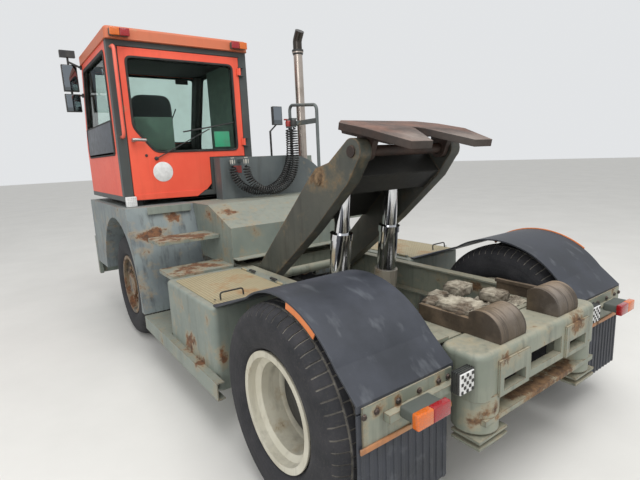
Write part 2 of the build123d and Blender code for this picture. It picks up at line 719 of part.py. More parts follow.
# Deck behind the cab, its slope and drop to the boom's foot, the treads and the running board
SLOPE_TOP_X = REAR_X + 2120.0
SLOPE_LOW_X = REAR_X + 1660.0
SLOPE_LOW_Z = 1180.0
FOOT_PLATE_Z = 925.0
FOOT_PLATE_X = REAR_X + 1560.0
with BuildPart() as deck_steps:
    side_prism(
        [
            (CAB_REAR_X - GAP, DECK_TOP),
            (SLOPE_TOP_X, DECK_TOP),
            (SLOPE_LOW_X, SLOPE_LOW_Z),
            (SLOPE_LOW_X, FOOT_PLATE_Z),
            (FOOT_PLATE_X, FOOT_PLATE_Z),
            (FOOT_PLATE_X, FOOT_PLATE_Z - PLATE),
            (SLOPE_LOW_X + PLATE, FOOT_PLATE_Z - PLATE),
            (SLOPE_LOW_X + PLATE, SLOPE_LOW_Z - PLATE),
            (SLOPE_TOP_X + PLATE, DECK_TOP - PLATE),
            (CAB_REAR_X - GAP, DECK_TOP - PLATE),
        ],
        (-WING_IN + FIT, WING_IN - FIT),
    )
    for side in (-1, 1):
        cheek = (side * (WING_IN - PLATE - FIT), side * (WING_IN - FIT))
        side_prism(
            [
                (CAB_REAR_X - GAP, DECK_TOP - PLATE),
                (SLOPE_TOP_X, DECK_TOP - PLATE),
                (SLOPE_LOW_X, SLOPE_LOW_Z - PLATE),
                (SLOPE_LOW_X, RAIL_TOP),
                (CAB_REAR_X - GAP, RAIL_TOP),
            ],
            cheek,
        )
        for top, rear, front in TREADS:
            plan_prism(
                [
                    (REAR_X + rear, side * (WING_IN - PLATE)),
                    (REAR_X + front, side * (WING_IN - PLATE)),
                    (REAR_X + front, side * TREAD_OUT),
                    (REAR_X + rear, side * TREAD_OUT),
                ],
                (top - TREAD_T, top),
                Mode.ADD,
                TREAD_ROUND,
            )
        slab((STEP_REAR_X, WING_REAR_LOW_X), (side * BOX_OUT, side * BODY_HALF), (STEP_TOP - STEP_H, STEP_TOP))
        slab((BOX_FRONT_X, WING_REAR_LOW_X), (side * STEP_IN, side * BODY_HALF), (STEP_TOP - STEP_H, STEP_TOP))
        slab(
            (STEP_REAR_X - 1, WING_REAR_LOW_X + 1),
            (side * (STEP_IN - 1), side * (BODY_HALF - PLATE)),
            (STEP_TOP - STEP_H + PLATE, STEP_TOP - PLATE),
            Mode.SUBTRACT,
        )
finish(deck_steps, "deck_steps")

# Engine and gearbox as one block, with the propeller shaft
ENGINE_X = (REAR_X + 2360.0, REAR_X + 3560.0)
ENGINE_HALF = RAIL_OUT_FRONT - 100.0
ENGINE_TOP = DECK_TOP - SKIN - 56.0
GEARBOX_HALF = 210.0
with BuildPart() as powertrain:
    slab(ENGINE_X, (-ENGINE_HALF, ENGINE_HALF), (560, ENGINE_TOP))
    slab((ENGINE_X[0] - 460, ENGINE_X[0]), (-GEARBOX_HALF, GEARBOX_HALF), (520, 900))
    slab((RAIL_FRONT_X - 190, RAIL_FRONT_X - 90), (-ENGINE_HALF, ENGINE_HALF), (RAIL_BOTTOM + RAIL_WEB, ENGINE_TOP - 20))
    bar_x(0, AXLE_Z + 60, (REAR_X + 1760, REAR_X + 1900), 90)
    rod_between((REAR_X + 333, 0, AXLE_Z), (REAR_X + 1762, 0, AXLE_Z + 60), 48)
    for x in (ENGINE_X[0] + 160, ENGINE_X[1] - 160):
        slab((x - 50, x + 50), (-RAIL_OUT_FRONT + RAIL_WEB, RAIL_OUT_FRONT - RAIL_WEB), (RAIL_BOTTOM + RAIL_WEB, RAIL_BOTTOM + 60))
finish(powertrain, "powertrain")

# Front bumper
BUMPER_LOW = 430.0
BUMPER_TOP = 900.0
LAMP_Y = BODY_HALF - 320.0
LAMP_W = 300.0
LAMP_Z = 760.0
LAMP_H = 160.0
GRILLE_SLOTS = 6
GRILLE_EDGE = 40.0
GRILLE_PITCH = 60.0
GRILLE_HALF = ENGINE_HALF
with BuildPart() as front_bumper:
    plan_prism(
        [
            (WING_NOSE_X + FIT, -BODY_HALF),
            (WING_NOSE_X + FIT, BODY_HALF),
            (NOSE_X - 40, BODY_HALF),
            (NOSE_X, BODY_HALF - 250),
            (NOSE_X, -BODY_HALF + 250),
            (NOSE_X - 40, -BODY_HALF),
        ],
        (BUMPER_LOW, BUMPER_TOP),
    )
    slab((WING_NOSE_X, NOSE_X - 50), (-BODY_HALF + 40, BODY_HALF - 40), (BUMPER_LOW - 1, BUMPER_TOP - 14), Mode.SUBTRACT)
    for side in (-1, 1):
        slab(
            (NOSE_X - 60, NOSE_X + 1),
            (side * (LAMP_Y - LAMP_W / 2), side * (LAMP_Y + LAMP_W / 2)),
            (LAMP_Z - LAMP_H / 2, LAMP_Z + LAMP_H / 2),
            Mode.SUBTRACT,
        )
    for side in (-1, 1):
        rail_end = (side * (RAIL_OUT_FRONT - RAIL_FLANGE), side * RAIL_OUT_FRONT)
        slab((RAIL_FRONT_X, NOSE_X - 50), rail_end, (RAIL_BOTTOM, RAIL_TOP))
    slab((WING_NOSE_X - PLATE, WING_NOSE_X + 1), (-WING_IN + FIT, WING_IN - FIT), (BUMPER_TOP - 14, DECK_TOP))
    for slot in range(GRILLE_SLOTS):
        slot_z = BUMPER_TOP + GRILLE_EDGE + slot * GRILLE_PITCH
        slab(
            (WING_NOSE_X - PLATE - 1, WING_NOSE_X + 2),
            (-GRILLE_HALF, GRILLE_HALF),
            (slot_z, slot_z + GRILLE_PITCH / 2),
            Mode.SUBTRACT,
        )
finish(front_bumper, "front_bumper")

# Engine cover right of the cab
HOOD_LEFT = CAB_RIGHT - 20.0
HOOD_RIGHT = -BODY_HALF + 190.0
HOOD_TOP = DECK_TOP + 410.0
HOOD_X = (CAB_REAR_X + 172.0, CAB_FRONT_X - 50.0)
HOOD_ROUND = 180.0
with BuildPart() as hood:
    with BuildSketch(Plane.YZ.offset(HOOD_X[0])) as hood_line:
        with BuildLine():
            Polyline(
                (HOOD_LEFT, DECK_TOP + FIT),
                (HOOD_LEFT, HOOD_TOP),
                (HOOD_RIGHT, HOOD_TOP),
                (HOOD_RIGHT, DECK_TOP + FIT),
                close=True,
            )
        make_face()
        fillet(hood_line.vertices().filter_by(lambda v: v.Z > DECK_TOP + 9 and v.Y < HOOD_LEFT - 9), HOOD_ROUND)
    extrude(hood_line.sketch, amount=HOOD_X[1] - HOOD_X[0])
    with BuildSketch(Plane.YZ.offset(HOOD_X[0] + PLATE)) as hood_hollow:
        with BuildLine():
            Polyline(
                (HOOD_LEFT - PLATE, DECK_TOP),
                (HOOD_LEFT - PLATE, HOOD_TOP - PLATE),
                (HOOD_RIGHT + PLATE, HOOD_TOP - PLATE),
                (HOOD_RIGHT + PLATE, DECK_TOP),
                close=True,
            )
        make_face()
        fillet(
            hood_hollow.vertices().filter_by(lambda v: v.Z > DECK_TOP + 9 and v.Y < HOOD_LEFT - 2 * PLATE),
            HOOD_ROUND - PLATE,
        )
    extrude(hood_hollow.sketch, amount=HOOD_X[1] - HOOD_X[0] - 2 * PLATE, mode=Mode.SUBTRACT)
finish(hood, "hood")

# Cab floor: its right feet stand on two cross beams hung under the wings' tops, its left feet on the left wing
FOOT_R = 42.0
CROSS_H = 50.0
CROSS_HALF = 45.0
CROSS_END = WING_IN + 60.0
with BuildPart() as cab_floor:
    slab((CAB_REAR_X, CAB_FRONT_X), (CAB_RIGHT, CAB_LEFT), (CAB_LOW, CAB_SILL))
    for x in (CAB_REAR_X + 140, CAB_FRONT_X - 400):
        bar_z(x, CAB_RIGHT + 60, (DECK_TOP - SKIN - 1, CAB_LOW), FOOT_R)
        bar_z(x, CAB_LEFT - 160, (DECK_TOP, CAB_LOW), FOOT_R)
        slab((x - CROSS_HALF, x + CROSS_HALF), (-CROSS_END, CROSS_END), (DECK_TOP - SKIN - CROSS_H, DECK_TOP - SKIN))
finish(cab_floor, "cab_floor")


def cab_side(z):
    """Front face of the cab at a height: upright below the screen, raked above it."""
    if z <= SCREEN_LOW:
        return CAB_FRONT_X
    return CAB_FRONT_X + (CAB_ROOF_FRONT_X - CAB_FRONT_X) * (z - SCREEN_LOW) / (CAB_HEAD - SCREEN_LOW)


SIDE_GLASS_LOW = CAB_SILL + 400.0
SIDE_GLASS_TOP = CAB_HEAD - 75.0
SIDE_FRAME = 75.0
SIDE_ROUND = 40.0
SIDE_REAR_X = CAB_REAR_X + POST_D


def side_window(inset):
    return [
        (SIDE_REAR_X + SIDE_FRAME + inset, SIDE_GLASS_LOW + inset),
        (cab_side(SIDE_GLASS_LOW) - SIDE_FRAME - CAB_WALL - inset, SIDE_GLASS_LOW + inset),
        (cab_side(SCREEN_LOW) - SIDE_FRAME - CAB_WALL - inset, SCREEN_LOW),
        (cab_side(SIDE_GLASS_TOP) - SIDE_FRAME - CAB_WALL - inset, SIDE_GLASS_TOP - inset),
        (SIDE_REAR_X + SIDE_FRAME + inset, SIDE_GLASS_TOP - inset),
    ]


CAB_SIDES = (
    # outer face, inner face
    (CAB_LEFT, CAB_LEFT - CAB_WALL),
    (CAB_RIGHT, CAB_RIGHT + CAB_WALL),
)
with BuildPart() as cab_side_walls:
    for outer_y, inner_y in CAB_SIDES:
        side_prism(
            [
                (SIDE_REAR_X, CAB_SILL),
                (cab_side(CAB_SILL) - CAB_WALL, CAB_SILL),
                (cab_side(SCREEN_LOW) - CAB_WALL, SCREEN_LOW),
                (cab_side(CAB_HEAD) - CAB_WALL, CAB_HEAD),
                (SIDE_REAR_X, CAB_HEAD),
            ],
            (outer_y, inner_y),
        )
        past = 60 if outer_y > inner_y else -60
        side_prism(side_window(0), (outer_y + past, inner_y - past), Mode.SUBTRACT, SIDE_ROUND)
finish(cab_side_walls, "cab_side_walls")

# Front wall with the raked screen
SCREEN_EDGE = 70.0


def screen_point(z, depth):
    return (cab_side(z) - depth, z)


with BuildPart() as cab_front_wall:
    side_prism(
        [
            (CAB_FRONT_X, CAB_SILL),
            screen_point(SCREEN_LOW, 0),
            screen_point(CAB_HEAD, 0),
            screen_point(CAB_HEAD, CAB_WALL),
            screen_point(SCREEN_LOW, CAB_WALL),
            (CAB_FRONT_X - CAB_WALL, CAB_SILL),
        ],
        (CAB_RIGHT, CAB_LEFT),
    )
    slab(
        (CAB_ROOF_FRONT_X - 200, CAB_FRONT_X + 50),
        (CAB_RIGHT + SCREEN_EDGE, CAB_LEFT - SCREEN_EDGE),
        (SCREEN_LOW + 30, CAB_HEAD - 60),
        Mode.SUBTRACT,
    )
finish(cab_front_wall, "cab_front_wall")

# Roof shell with its fascia
ROOF_OVER = 40.0
with BuildPart() as cab_roof:
    slab(
        (CAB_REAR_X - ROOF_OVER, CAB_ROOF_FRONT_X + ROOF_OVER),
        (CAB_RIGHT - 12, CAB_LEFT + 12),
        (CAB_HEAD, CAB_TOP),
    )
    fillet(cab_roof.edges().filter_by(Axis.Z), 40)
    fillet(cab_roof.edges().group_by(Axis.Z)[-1], 26)
    slab(
        (CAB_REAR_X + CAB_WALL, CAB_ROOF_FRONT_X - CAB_WALL),
        (CAB_RIGHT + CAB_WALL, CAB_LEFT - CAB_WALL),
        (CAB_HEAD - 1, CAB_TOP - 45),
        Mode.SUBTRACT,
    )
finish(cab_roof, "cab_roof")

# Rear posts, header and the fixed panel beside the door's notch; the grab rail stands on the left post
RAIL_R = 14.0
HINGE_PIN_R = 7.0
HINGE_BARREL_R = 13.0
HINGE_LEN = 70.0
DOOR_HINGES = (CAB_SILL + 480.0, CAB_HEAD - 195.0)
GRAB_Z = (CAB_SILL + 540.0, CAB_HEAD - 65.0)
DOOR_LEFT = CAB_LEFT - POST_W - GAP
DOOR_RIGHT = CAB_RIGHT + POST_W + GAP
DOOR_LOW = CAB_SILL + GAP
DOOR_TOP = CAB_HEAD - 55.0
with BuildPart() as cab_rear_frame:
    slab((CAB_REAR_X, SIDE_REAR_X), (CAB_LEFT - POST_W, CAB_LEFT), (CAB_SILL, CAB_HEAD))
    slab((CAB_REAR_X, SIDE_REAR_X), (CAB_RIGHT, CAB_RIGHT + POST_W), (CAB_SILL, CAB_HEAD))
    slab((CAB_REAR_X, SIDE_REAR_X), (CAB_RIGHT, CAB_LEFT), (DOOR_TOP + GAP, CAB_HEAD))
    slab((CAB_REAR_X, CAB_REAR_X + DOOR_T), (CAB_RIGHT, DOOR_NOTCH_Y - GAP), (CAB_SILL, DOOR_NOTCH_Z - GAP))
    tube_path(
        [
            (CAB_REAR_X, CAB_LEFT - 40, GRAB_Z[1]),
            (CAB_REAR_X - 75, CAB_LEFT - 45, GRAB_Z[1]),
            (CAB_REAR_X - 75, CAB_LEFT - 45, GRAB_Z[0]),
            (CAB_REAR_X, CAB_LEFT - 40, GRAB_Z[0]),
        ],
        RAIL_R,
        45,
    )
    for z in DOOR_HINGES:
        bar_z(DOOR_HINGE_X, DOOR_HINGE_Y, (z - HINGE_LEN / 2 - 10, z + HINGE_LEN / 2 + 10), HINGE_PIN_R)
        for low in (z - HINGE_LEN / 2 - 10, z + HINGE_LEN / 2 + 2):
            slab(
                (DOOR_HINGE_X - HINGE_BARREL_R, CAB_REAR_X),
                (CAB_RIGHT + POST_W - 40, CAB_RIGHT + POST_W),
                (low, low + 8),
            )
            slab(
                (DOOR_HINGE_X - HINGE_BARREL_R, DOOR_HINGE_X + HINGE_BARREL_R),
                (CAB_RIGHT + POST_W - 1, DOOR_HINGE_Y + HINGE_BARREL_R),
                (low, low + 8),
            )
finish(cab_rear_frame, "cab_rear_frame")

# Rear door: one panel with a notch at its lower right, and the window's opening
DOOR_GLASS = (
    # y, z of the window's corners
    (DOOR_LEFT - 60, CAB_HEAD - 135.0),
    (DOOR_RIGHT + 75, CAB_HEAD - 135.0),
    (DOOR_RIGHT + 75, SIDE_GLASS_LOW),
    (DOOR_LEFT - 240, SIDE_GLASS_LOW),
    (DOOR_LEFT - 60, SIDE_GLASS_LOW + 230.0),
)
HANDLE_Z = (CAB_SILL + 500.0, CAB_SILL + 524.0)
with BuildPart() as rear_door:
    cross_prism(
        [
            (DOOR_LEFT, DOOR_LOW),
            (DOOR_LEFT, DOOR_TOP),
            (DOOR_RIGHT, DOOR_TOP),
            (DOOR_RIGHT, DOOR_NOTCH_Z),
            (DOOR_NOTCH_Y, DOOR_NOTCH_Z),
            (DOOR_NOTCH_Y, DOOR_LOW + 60),
            (DOOR_NOTCH_Y + 60, DOOR_LOW),
        ],
        (CAB_REAR_X, CAB_REAR_X + DOOR_T),
    )
    cross_prism(DOOR_GLASS, (CAB_REAR_X - 1, CAB_REAR_X + DOOR_T + 1), Mode.SUBTRACT, 55)
    slab((CAB_REAR_X - 45, CAB_REAR_X), (DOOR_LEFT - 60, DOOR_LEFT - 30), HANDLE_Z)
    slab((CAB_REAR_X - 57, CAB_REAR_X - 45), (DOOR_LEFT - 150, DOOR_LEFT - 30), HANDLE_Z)
    for z in DOOR_HINGES:
        bar_z(DOOR_HINGE_X, DOOR_HINGE_Y, (z - HINGE_LEN / 2, z + HINGE_LEN / 2), HINGE_BARREL_R)
        slab(
            (DOOR_HINGE_X, CAB_REAR_X),
            (DOOR_HINGE_Y + HINGE_BARREL_R - 6, DOOR_HINGE_Y + HINGE_BARREL_R + 14),
            (z - HINGE_LEN / 2, z + HINGE_LEN / 2),
        )
        bar_z(DOOR_HINGE_X, DOOR_HINGE_Y, (z - HINGE_LEN, z + HINGE_LEN), HINGE_PIN_R + PIN_FIT, Mode.SUBTRACT)
finish(rear_door, "rear_door")

with BuildPart() as door_glass:
    cross_prism(DOOR_GLASS, (CAB_REAR_X + 14, CAB_REAR_X + 14 + GLASS_T), Mode.ADD, 55)
finish(door_glass, "door_glass")

with BuildPart() as cab_glass:
    for outer_y, inner_y in CAB_SIDES:
        middle = (outer_y + inner_y) / 2
        side_prism(side_window(0), (middle - GLASS_T / 2, middle + GLASS_T / 2), Mode.ADD, SIDE_ROUND)
    side_prism(
        [
            screen_point(SCREEN_LOW + 30, 20),
            screen_point(CAB_HEAD - 60, 20),
            screen_point(CAB_HEAD - 60, 20 + GLASS_T),
            screen_point(SCREEN_LOW + 30, 20 + GLASS_T),
        ],
        (CAB_RIGHT + SCREEN_EDGE, CAB_LEFT - SCREEN_EDGE),
    )
finish(cab_glass, "cab_glass")

# Seat and the steering column
CAB_LENGTH = CAB_FRONT_X - CAB_REAR_X
SEAT_X = CAB_REAR_X + 0.387 * CAB_LENGTH
SEAT_Y = CAB_RIGHT + 0.69 * (CAB_LEFT - CAB_RIGHT)
SEAT_Z = CAB_SILL + 350.0
SEAT_HALF = 215.0
SEAT_BACK = 0.455 * (CAB_HEAD - CAB_SILL)
with BuildPart() as seat:
    bar_z(SEAT_X + 20, SEAT_Y, (CAB_SILL, SEAT_Z), 130)
    slab((SEAT_X - 230, SEAT_X + 260), (SEAT_Y - SEAT_HALF, SEAT_Y + SEAT_HALF), (SEAT_Z, SEAT_Z + 110))
    side_prism(
        [
            (SEAT_X - 190, SEAT_Z + 80),
            (SEAT_X - 330, SEAT_Z + 100),
            (SEAT_X - 390, SEAT_Z + SEAT_BACK),
            (SEAT_X - 280, SEAT_Z + SEAT_BACK),
        ],
        (SEAT_Y - SEAT_HALF + 10, SEAT_Y + SEAT_HALF - 10),
    )
finish(seat, "seat")

WHEEL_TILT = 32.0
WHEEL_R = 200.0
WHEEL_GRIP_R = 15.0
WHEEL_X = CAB_REAR_X + 0.7155 * CAB_LENGTH
WHEEL_Z = CAB_SILL + 680.0
CONSOLE_TOP = CAB_SILL + 430.0
with BuildPart() as steering_console:
    slab(
        (WHEEL_X + 0.04 * CAB_LENGTH, CAB_FRONT_X - CAB_WALL - 0.04 * CAB_LENGTH),
        (CAB_RIGHT + CAB_WALL + 40, CAB_LEFT - CAB_WALL - 40),
        (CAB_SILL, CONSOLE_TOP),
    )
    rod_between((WHEEL_X + 0.107 * CAB_LENGTH, SEAT_Y, CONSOLE_TOP - 20), (WHEEL_X, SEAT_Y, WHEEL_Z), 32)
    lean = radians(WHEEL_TILT)
    wheel_up = (-sin(lean), 0, cos(lean))
    wheel_middle = (WHEEL_X, SEAT_Y, WHEEL_Z)
    with BuildSketch(Plane(origin=wheel_middle, x_dir=(0, 1, 0), z_dir=(cos(lean), 0, sin(lean)))) as grip:
        with Locations((WHEEL_R, 0)):
            RegularPolygon(WHEEL_GRIP_R, 8)
    revolve(grip.sketch, axis=Axis(wheel_middle, wheel_up))
    wheel_place = Location(Plane(origin=wheel_middle, x_dir=(0, 1, 0), z_dir=wheel_up))
    for turn in (0, 120, 240):
        with Locations(wheel_place * Rotation(0, 0, turn)):
            Box(WHEEL_R, 2 * WHEEL_GRIP_R, 12, align=(Align.MIN, Align.CENTER, Align.CENTER))
finish(steering_console, "steering_console")

# Silencer and stack
STACK_X = REAR_X + 2640.0
STACK_Y = -BODY_HALF + 450.0
STACK_R = 50.0
with BuildPart() as exhaust:
    bar_z(STACK_X, STACK_Y, (DECK_TOP, 1700), 105)
    bar_z(STACK_X, STACK_Y, (1700, 2900), STACK_R)
    bar_z(STACK_X, STACK_Y, (2886, 2914), STACK_R + 12)
    tube_path(
        [(STACK_X, STACK_Y, 2900), (STACK_X, STACK_Y, 3020), (STACK_X - 60, STACK_Y, 3110)],
        STACK_R,
        100,
    )
finish(exhaust, "exhaust")

# Coupling stand: grey box, arched screen plate, hoop, and the parking heads for the lines
STAND_X = (REAR_X + 2500.0, REAR_X + 2655.0)
STAND_TOP = DECK_TOP + 420.0
HOOP_R = 17.0
HOOP_Y = -BODY_HALF + 650.0
HOOP_X = (REAR_X + 2560.0, REAR_X + 2050.0)
HOOP_TOP = 2310.0
PARK_Z = 2080.0
PARK_Y = HOOP_Y + 75.0
HEAD_R = 30.0
HEAD_H = 90.0
COIL_PARKS = (REAR_X + 2478.0, REAR_X + 2382.0)
GLAND_LOW = 1690.0
GLAND_TOP = 1760.0
GLANDS = (
    # x from the rear axle, y
    (2440.0, 190.0),
    (2338.0, 90.0),
)


def deck_height(x):
    """Deck surface behind the cab, level and then sloping down to the rear."""
    if x > SLOPE_TOP_X:
        return DECK_TOP
    return DECK_TOP - (SLOPE_TOP_X - x) * (DECK_TOP - SLOPE_LOW_Z) / (SLOPE_TOP_X - SLOPE_LOW_X)


with BuildPart() as coupling_stand:
    slab(STAND_X, (CAB_RIGHT - 330, 300), (DECK_TOP, STAND_TOP))
    with BuildSketch(Plane.YZ.offset(STAND_X[0])) as screen:
        with BuildLine():
            arch = ThreePointArc((-482, STAND_TOP), (-760, 1720), (-960, 1560))
            Polyline(arch @ 1, (-960, DECK_TOP), (-482, DECK_TOP), arch @ 0)
        make_face()
    extrude(screen.sketch, amount=20)
    tube_path(
        [
            (HOOP_X[0], HOOP_Y, DECK_TOP),
            (HOOP_X[0], HOOP_Y, HOOP_TOP),
            (HOOP_X[1], HOOP_Y, HOOP_TOP - 50),
            (HOOP_X[1], HOOP_Y, deck_height(HOOP_X[1] + HOOP_R)),
        ],
        HOOP_R,
        60,
    )
    slab((HOOP_X[1], HOOP_X[0]), (HOOP_Y - 6, HOOP_Y + 6), (PARK_Z, PARK_Z + 50))
    for park_x in COIL_PARKS:
        slab((park_x - 25, park_x + 25), (HOOP_Y, PARK_Y), (PARK_Z + 5, PARK_Z + 45))
        bar_z(park_x, PARK_Y, (PARK_Z - 20, PARK_Z - 20 + HEAD_H), HEAD_R)
    for gland_x, gland_y in GLANDS:
        slab((REAR_X + gland_x, STAND_X[0]), (gland_y - 18, gland_y + 18), (GLAND_TOP - 40, GLAND_TOP - 10))
        bar_z(REAR_X + gland_x, gland_y, (GLAND_LOW, GLAND_TOP), HEAD_R - 4)
finish(coupling_stand, "coupling_stand")

# Mirrors: two heads and a work lamp on arms from the cab's left front post, one head on a stalk from the right wing
MIRROR_X = CAB_FRONT_X - 210.0
MIRROR_IN = CAB_LEFT + 40.0
MIRROR_Y = (MIRROR_IN + MIRROR_HALF) / 2
MIRROR_D = 56.0
ARM_R = 11.0
LEFT_HEADS = (
    # bottom and top from the cab's head
    (-265.0, 15.0),
    (-485.0, -295.0),
    (95.0, 165.0),
)
ARM_DROPS = (305.0, -50.0)
RIGHT_HEAD = (CAB_HEAD - 615.0, CAB_HEAD - 355.0)
STALK_Y = -BODY_HALF + 60.0
with BuildPart() as mirrors:
    for low, high in LEFT_HEADS:
        slab(
            (MIRROR_X - MIRROR_D / 2, MIRROR_X + MIRROR_D / 2),
            (MIRROR_IN, MIRROR_HALF),
            (CAB_HEAD + low, CAB_HEAD + high),
        )
    bar_z(MIRROR_X, MIRROR_Y, (CAB_HEAD + LEFT_HEADS[1][1] - 10, CAB_HEAD + LEFT_HEADS[2][0] + 10), ARM_R)
    for drop in ARM_DROPS:
        foot_z = min(CAB_HEAD - drop, CAB_HEAD - 22)
        foot_x = cab_side(foot_z) - CAB_WALL / 2
        slab((foot_x - 20, foot_x + 20), (CAB_LEFT, CAB_LEFT + 18), (foot_z - 20, foot_z + 20))
        rod_between((foot_x, CAB_LEFT + 14, foot_z), (MIRROR_X, MIRROR_Y, CAB_HEAD - drop), ARM_R)
    slab(
        (MIRROR_X - MIRROR_D / 2, MIRROR_X + MIRROR_D / 2),
        (-MIRROR_HALF, -MIRROR_IN),
        RIGHT_HEAD,
    )
    rod_between((MIRROR_X, -MIRROR_Y, RIGHT_HEAD[0] + 20), (MIRROR_X, STALK_Y, RIGHT_HEAD[0] - 90), ARM_R)
    bar_z(MIRROR_X, STALK_Y, (DECK_TOP, RIGHT_HEAD[0] - 85), ARM_R + 4)
    slab((MIRROR_X - 40, MIRROR_X + 40), (STALK_Y - 40, STALK_Y + 40), (DECK_TOP, DECK_TOP + 10))
finish(mirrors, "mirrors")

# Lamps: head lamps, tail lamps, work lamps and the roof's rear clusters
with BuildPart() as lamps:
    for side in (-1, 1):
        slab(
            (NOSE_X - 50, NOSE_X - 8),
            (side * (LAMP_Y - LAMP_W / 2 + FIT), side * (LAMP_Y + LAMP_W / 2 - FIT)),
            (LAMP_Z - LAMP_H / 2 + FIT, LAMP_Z + LAMP_H / 2 - FIT),
        )
        slab(
            (TAIL_X, GUARD_PLATE_X - PLATE - CARRIER_W),
            (side * (GUARD_OUT - 360), side * (GUARD_OUT - 170)),
            (CARRIER_Z - 14, CARRIER_Z + 52),
        )
        slab(
            (GUARD_PLATE_X - PLATE - CARRIER_W - 58, GUARD_PLATE_X - PLATE - CARRIER_W),
            (side * (BEAM_HALF + FIT), side * (BEAM_HALF + 110)),
            (CARRIER_Z - 23, CARRIER_Z + 85),
        )
    for y0, y1 in ((CAB_LEFT - 190, CAB_LEFT - 20), (CAB_RIGHT + 20, CAB_RIGHT + 190)):
        slab((CAB_REAR_X - ROOF_OVER - 60, CAB_REAR_X - ROOF_OVER), (y0, y1), (CAB_HEAD + 12, CAB_HEAD + 80))
finish(lamps, "lamps")

# Lift boom
BOOM_LEN = hypot(BOOM_X - PLATE_PIN_X, PLATE_PIN_Z - BOOM_Z)
BOOM_ANGLE = atan2(PLATE_PIN_Z - BOOM_Z, BOOM_X - PLATE_PIN_X)


def on_boom(along, across):
    """Place in x and z from the boom's own line: along it from the pivot, and square to it."""
    return (
        BOOM_X - along * cos(BOOM_ANGLE) + across * sin(BOOM_ANGLE),
        BOOM_Z + along * sin(BOOM_ANGLE) + across * cos(BOOM_ANGLE),
    )


EYE_R = 92.0
TIP_R = 78.0
CHEEK_TOP = (
    # along, across
    (0.0, EYE_R),
    (770.0, 138.0),
    (1130.0, 160.0),
    (1250.0, 158.0),
    (1380.0, 95.0),
    (BOOM_LEN, TIP_R),
)
CHEEK_LOW = (
    (BOOM_LEN, -TIP_R),
    (1440.0, -118.0),
    (930.0, -130.0),
    (0.0, -EYE_R),
)
CROSS_BOX = (
    (1300.0, 70.0),
    (1480.0, 58.0),
    (1480.0, -104.0),
    (1300.0, -104.0),
)
TOP_SHEET = (
    (640.0, 120.0),
    (1130.0, 148.0),
    (1130.0, 136.0),
    (640.0, 108.0),
)


def boom_prism(line, y, mode=Mode.ADD):
    side_prism([on_boom(along, across) for along, across in line], y, mode)


with BuildPart() as boom:
    for side in (-1, 1):
        cheek = (side * (CHEEK_OUT - CHEEK_T), side * CHEEK_OUT)
        boom_prism(CHEEK_TOP + CHEEK_LOW, cheek)
        bar_y(BOOM_X, BOOM_Z, cheek, EYE_R)
        bar_y(PLATE_PIN_X, PLATE_PIN_Z, cheek, TIP_R)
    inner = CHEEK_OUT - CHEEK_T
    boom_prism(CROSS_BOX, (-inner, inner))
    boom_prism(TOP_SHEET, (-inner, inner))
    pin_x, pin_z = on_boom(ROD_PIN_ALONG, ROD_PIN_ACROSS)
    bar_y(pin_x, pin_z, (-CHEEK_OUT - 8, CHEEK_OUT + 8), ROD_PIN_R + 16)
    bar_y(pin_x, pin_z, (-inner, inner), ROD_PIN_R + 17, Mode.SUBTRACT)
    bar_y(pin_x, pin_z, (-CHEEK_OUT - 14, CHEEK_OUT + 14), ROD_PIN_R)
    bar_y(BOOM_X, BOOM_Z, (-CHEEK_OUT - 1, CHEEK_OUT + 1), BOOM_SHAFT_R + PIN_FIT, Mode.SUBTRACT)
    bar_y(PLATE_PIN_X, PLATE_PIN_Z, (-CHEEK_OUT - 1, CHEEK_OUT + 1), PIN_R + PIN_FIT, Mode.SUBTRACT)
finish(boom, "boom")

# Lift cylinders, seen in their raised state
CYL_DX = pin_x - CYL_FOOT_X
CYL_DZ = pin_z - CYL_FOOT_Z
CYL_REST = hypot(CYL_DX, CYL_DZ)


def on_cylinder(reach, y):
    return (CYL_FOOT_X + CYL_DX * reach / CYL_REST, y, CYL_FOOT_Z + CYL_DZ * reach / CYL_REST)


with BuildPart() as lift_barrels:
    for side in (-1, 1):
        y = side * CYL_Y
        rod_between(on_cylinder(-70, y), on_cylinder(BARREL_LEN, y), BARREL_R)
        rod_between(on_cylinder(70, y), on_cylinder(BARREL_LEN + 1, y), STAGE_R + PIN_FIT, Mode.SUBTRACT)
        bar_y(CYL_FOOT_X, CYL_FOOT_Z, (y - 100, y + 100), CYL_PIN_R + PIN_FIT, Mode.SUBTRACT)
finish(lift_barrels, "lift_barrels")

STAGE_END = BARREL_LEN + STAGE_SHOWN
with BuildPart() as lift_stages:
    for side in (-1, 1):
        y = side * CYL_Y
        rod_between(on_cylinder(BARREL_LEN - 60, y), on_cylinder(STAGE_END, y), STAGE_R)
        rod_between(on_cylinder(STAGE_END - COLLAR_H, y), on_cylinder(STAGE_END, y), COLLAR_R)
        rod_between(on_cylinder(BARREL_LEN - 61, y), on_cylinder(STAGE_END + 1, y), ROD_R + PIN_FIT, Mode.SUBTRACT)
finish(lift_stages, "lift_stages")

ROD_EYE_R = 66.0
with BuildPart() as lift_rods:
    for side in (-1, 1):
        y = side * CYL_Y
        rod_between(on_cylinder(STAGE_END - 180, y), on_cylinder(CYL_REST - 30, y), ROD_R)
        bar_y(pin_x, pin_z, (y - 35, y + 35), ROD_EYE_R)
        bar_y(pin_x, pin_z, (y - 60, y + 60), ROD_PIN_R + EYE_SLACK, Mode.SUBTRACT)
finish(lift_rods, "lift_rods")

# Cross pin in the boom's tips
with BuildPart() as plate_pin:
    bar_y(PLATE_PIN_X, PLATE_PIN_Z, (-CHEEK_OUT - 10, CHEEK_OUT + 10), PIN_R)
finish(plate_pin, "plate_pin")


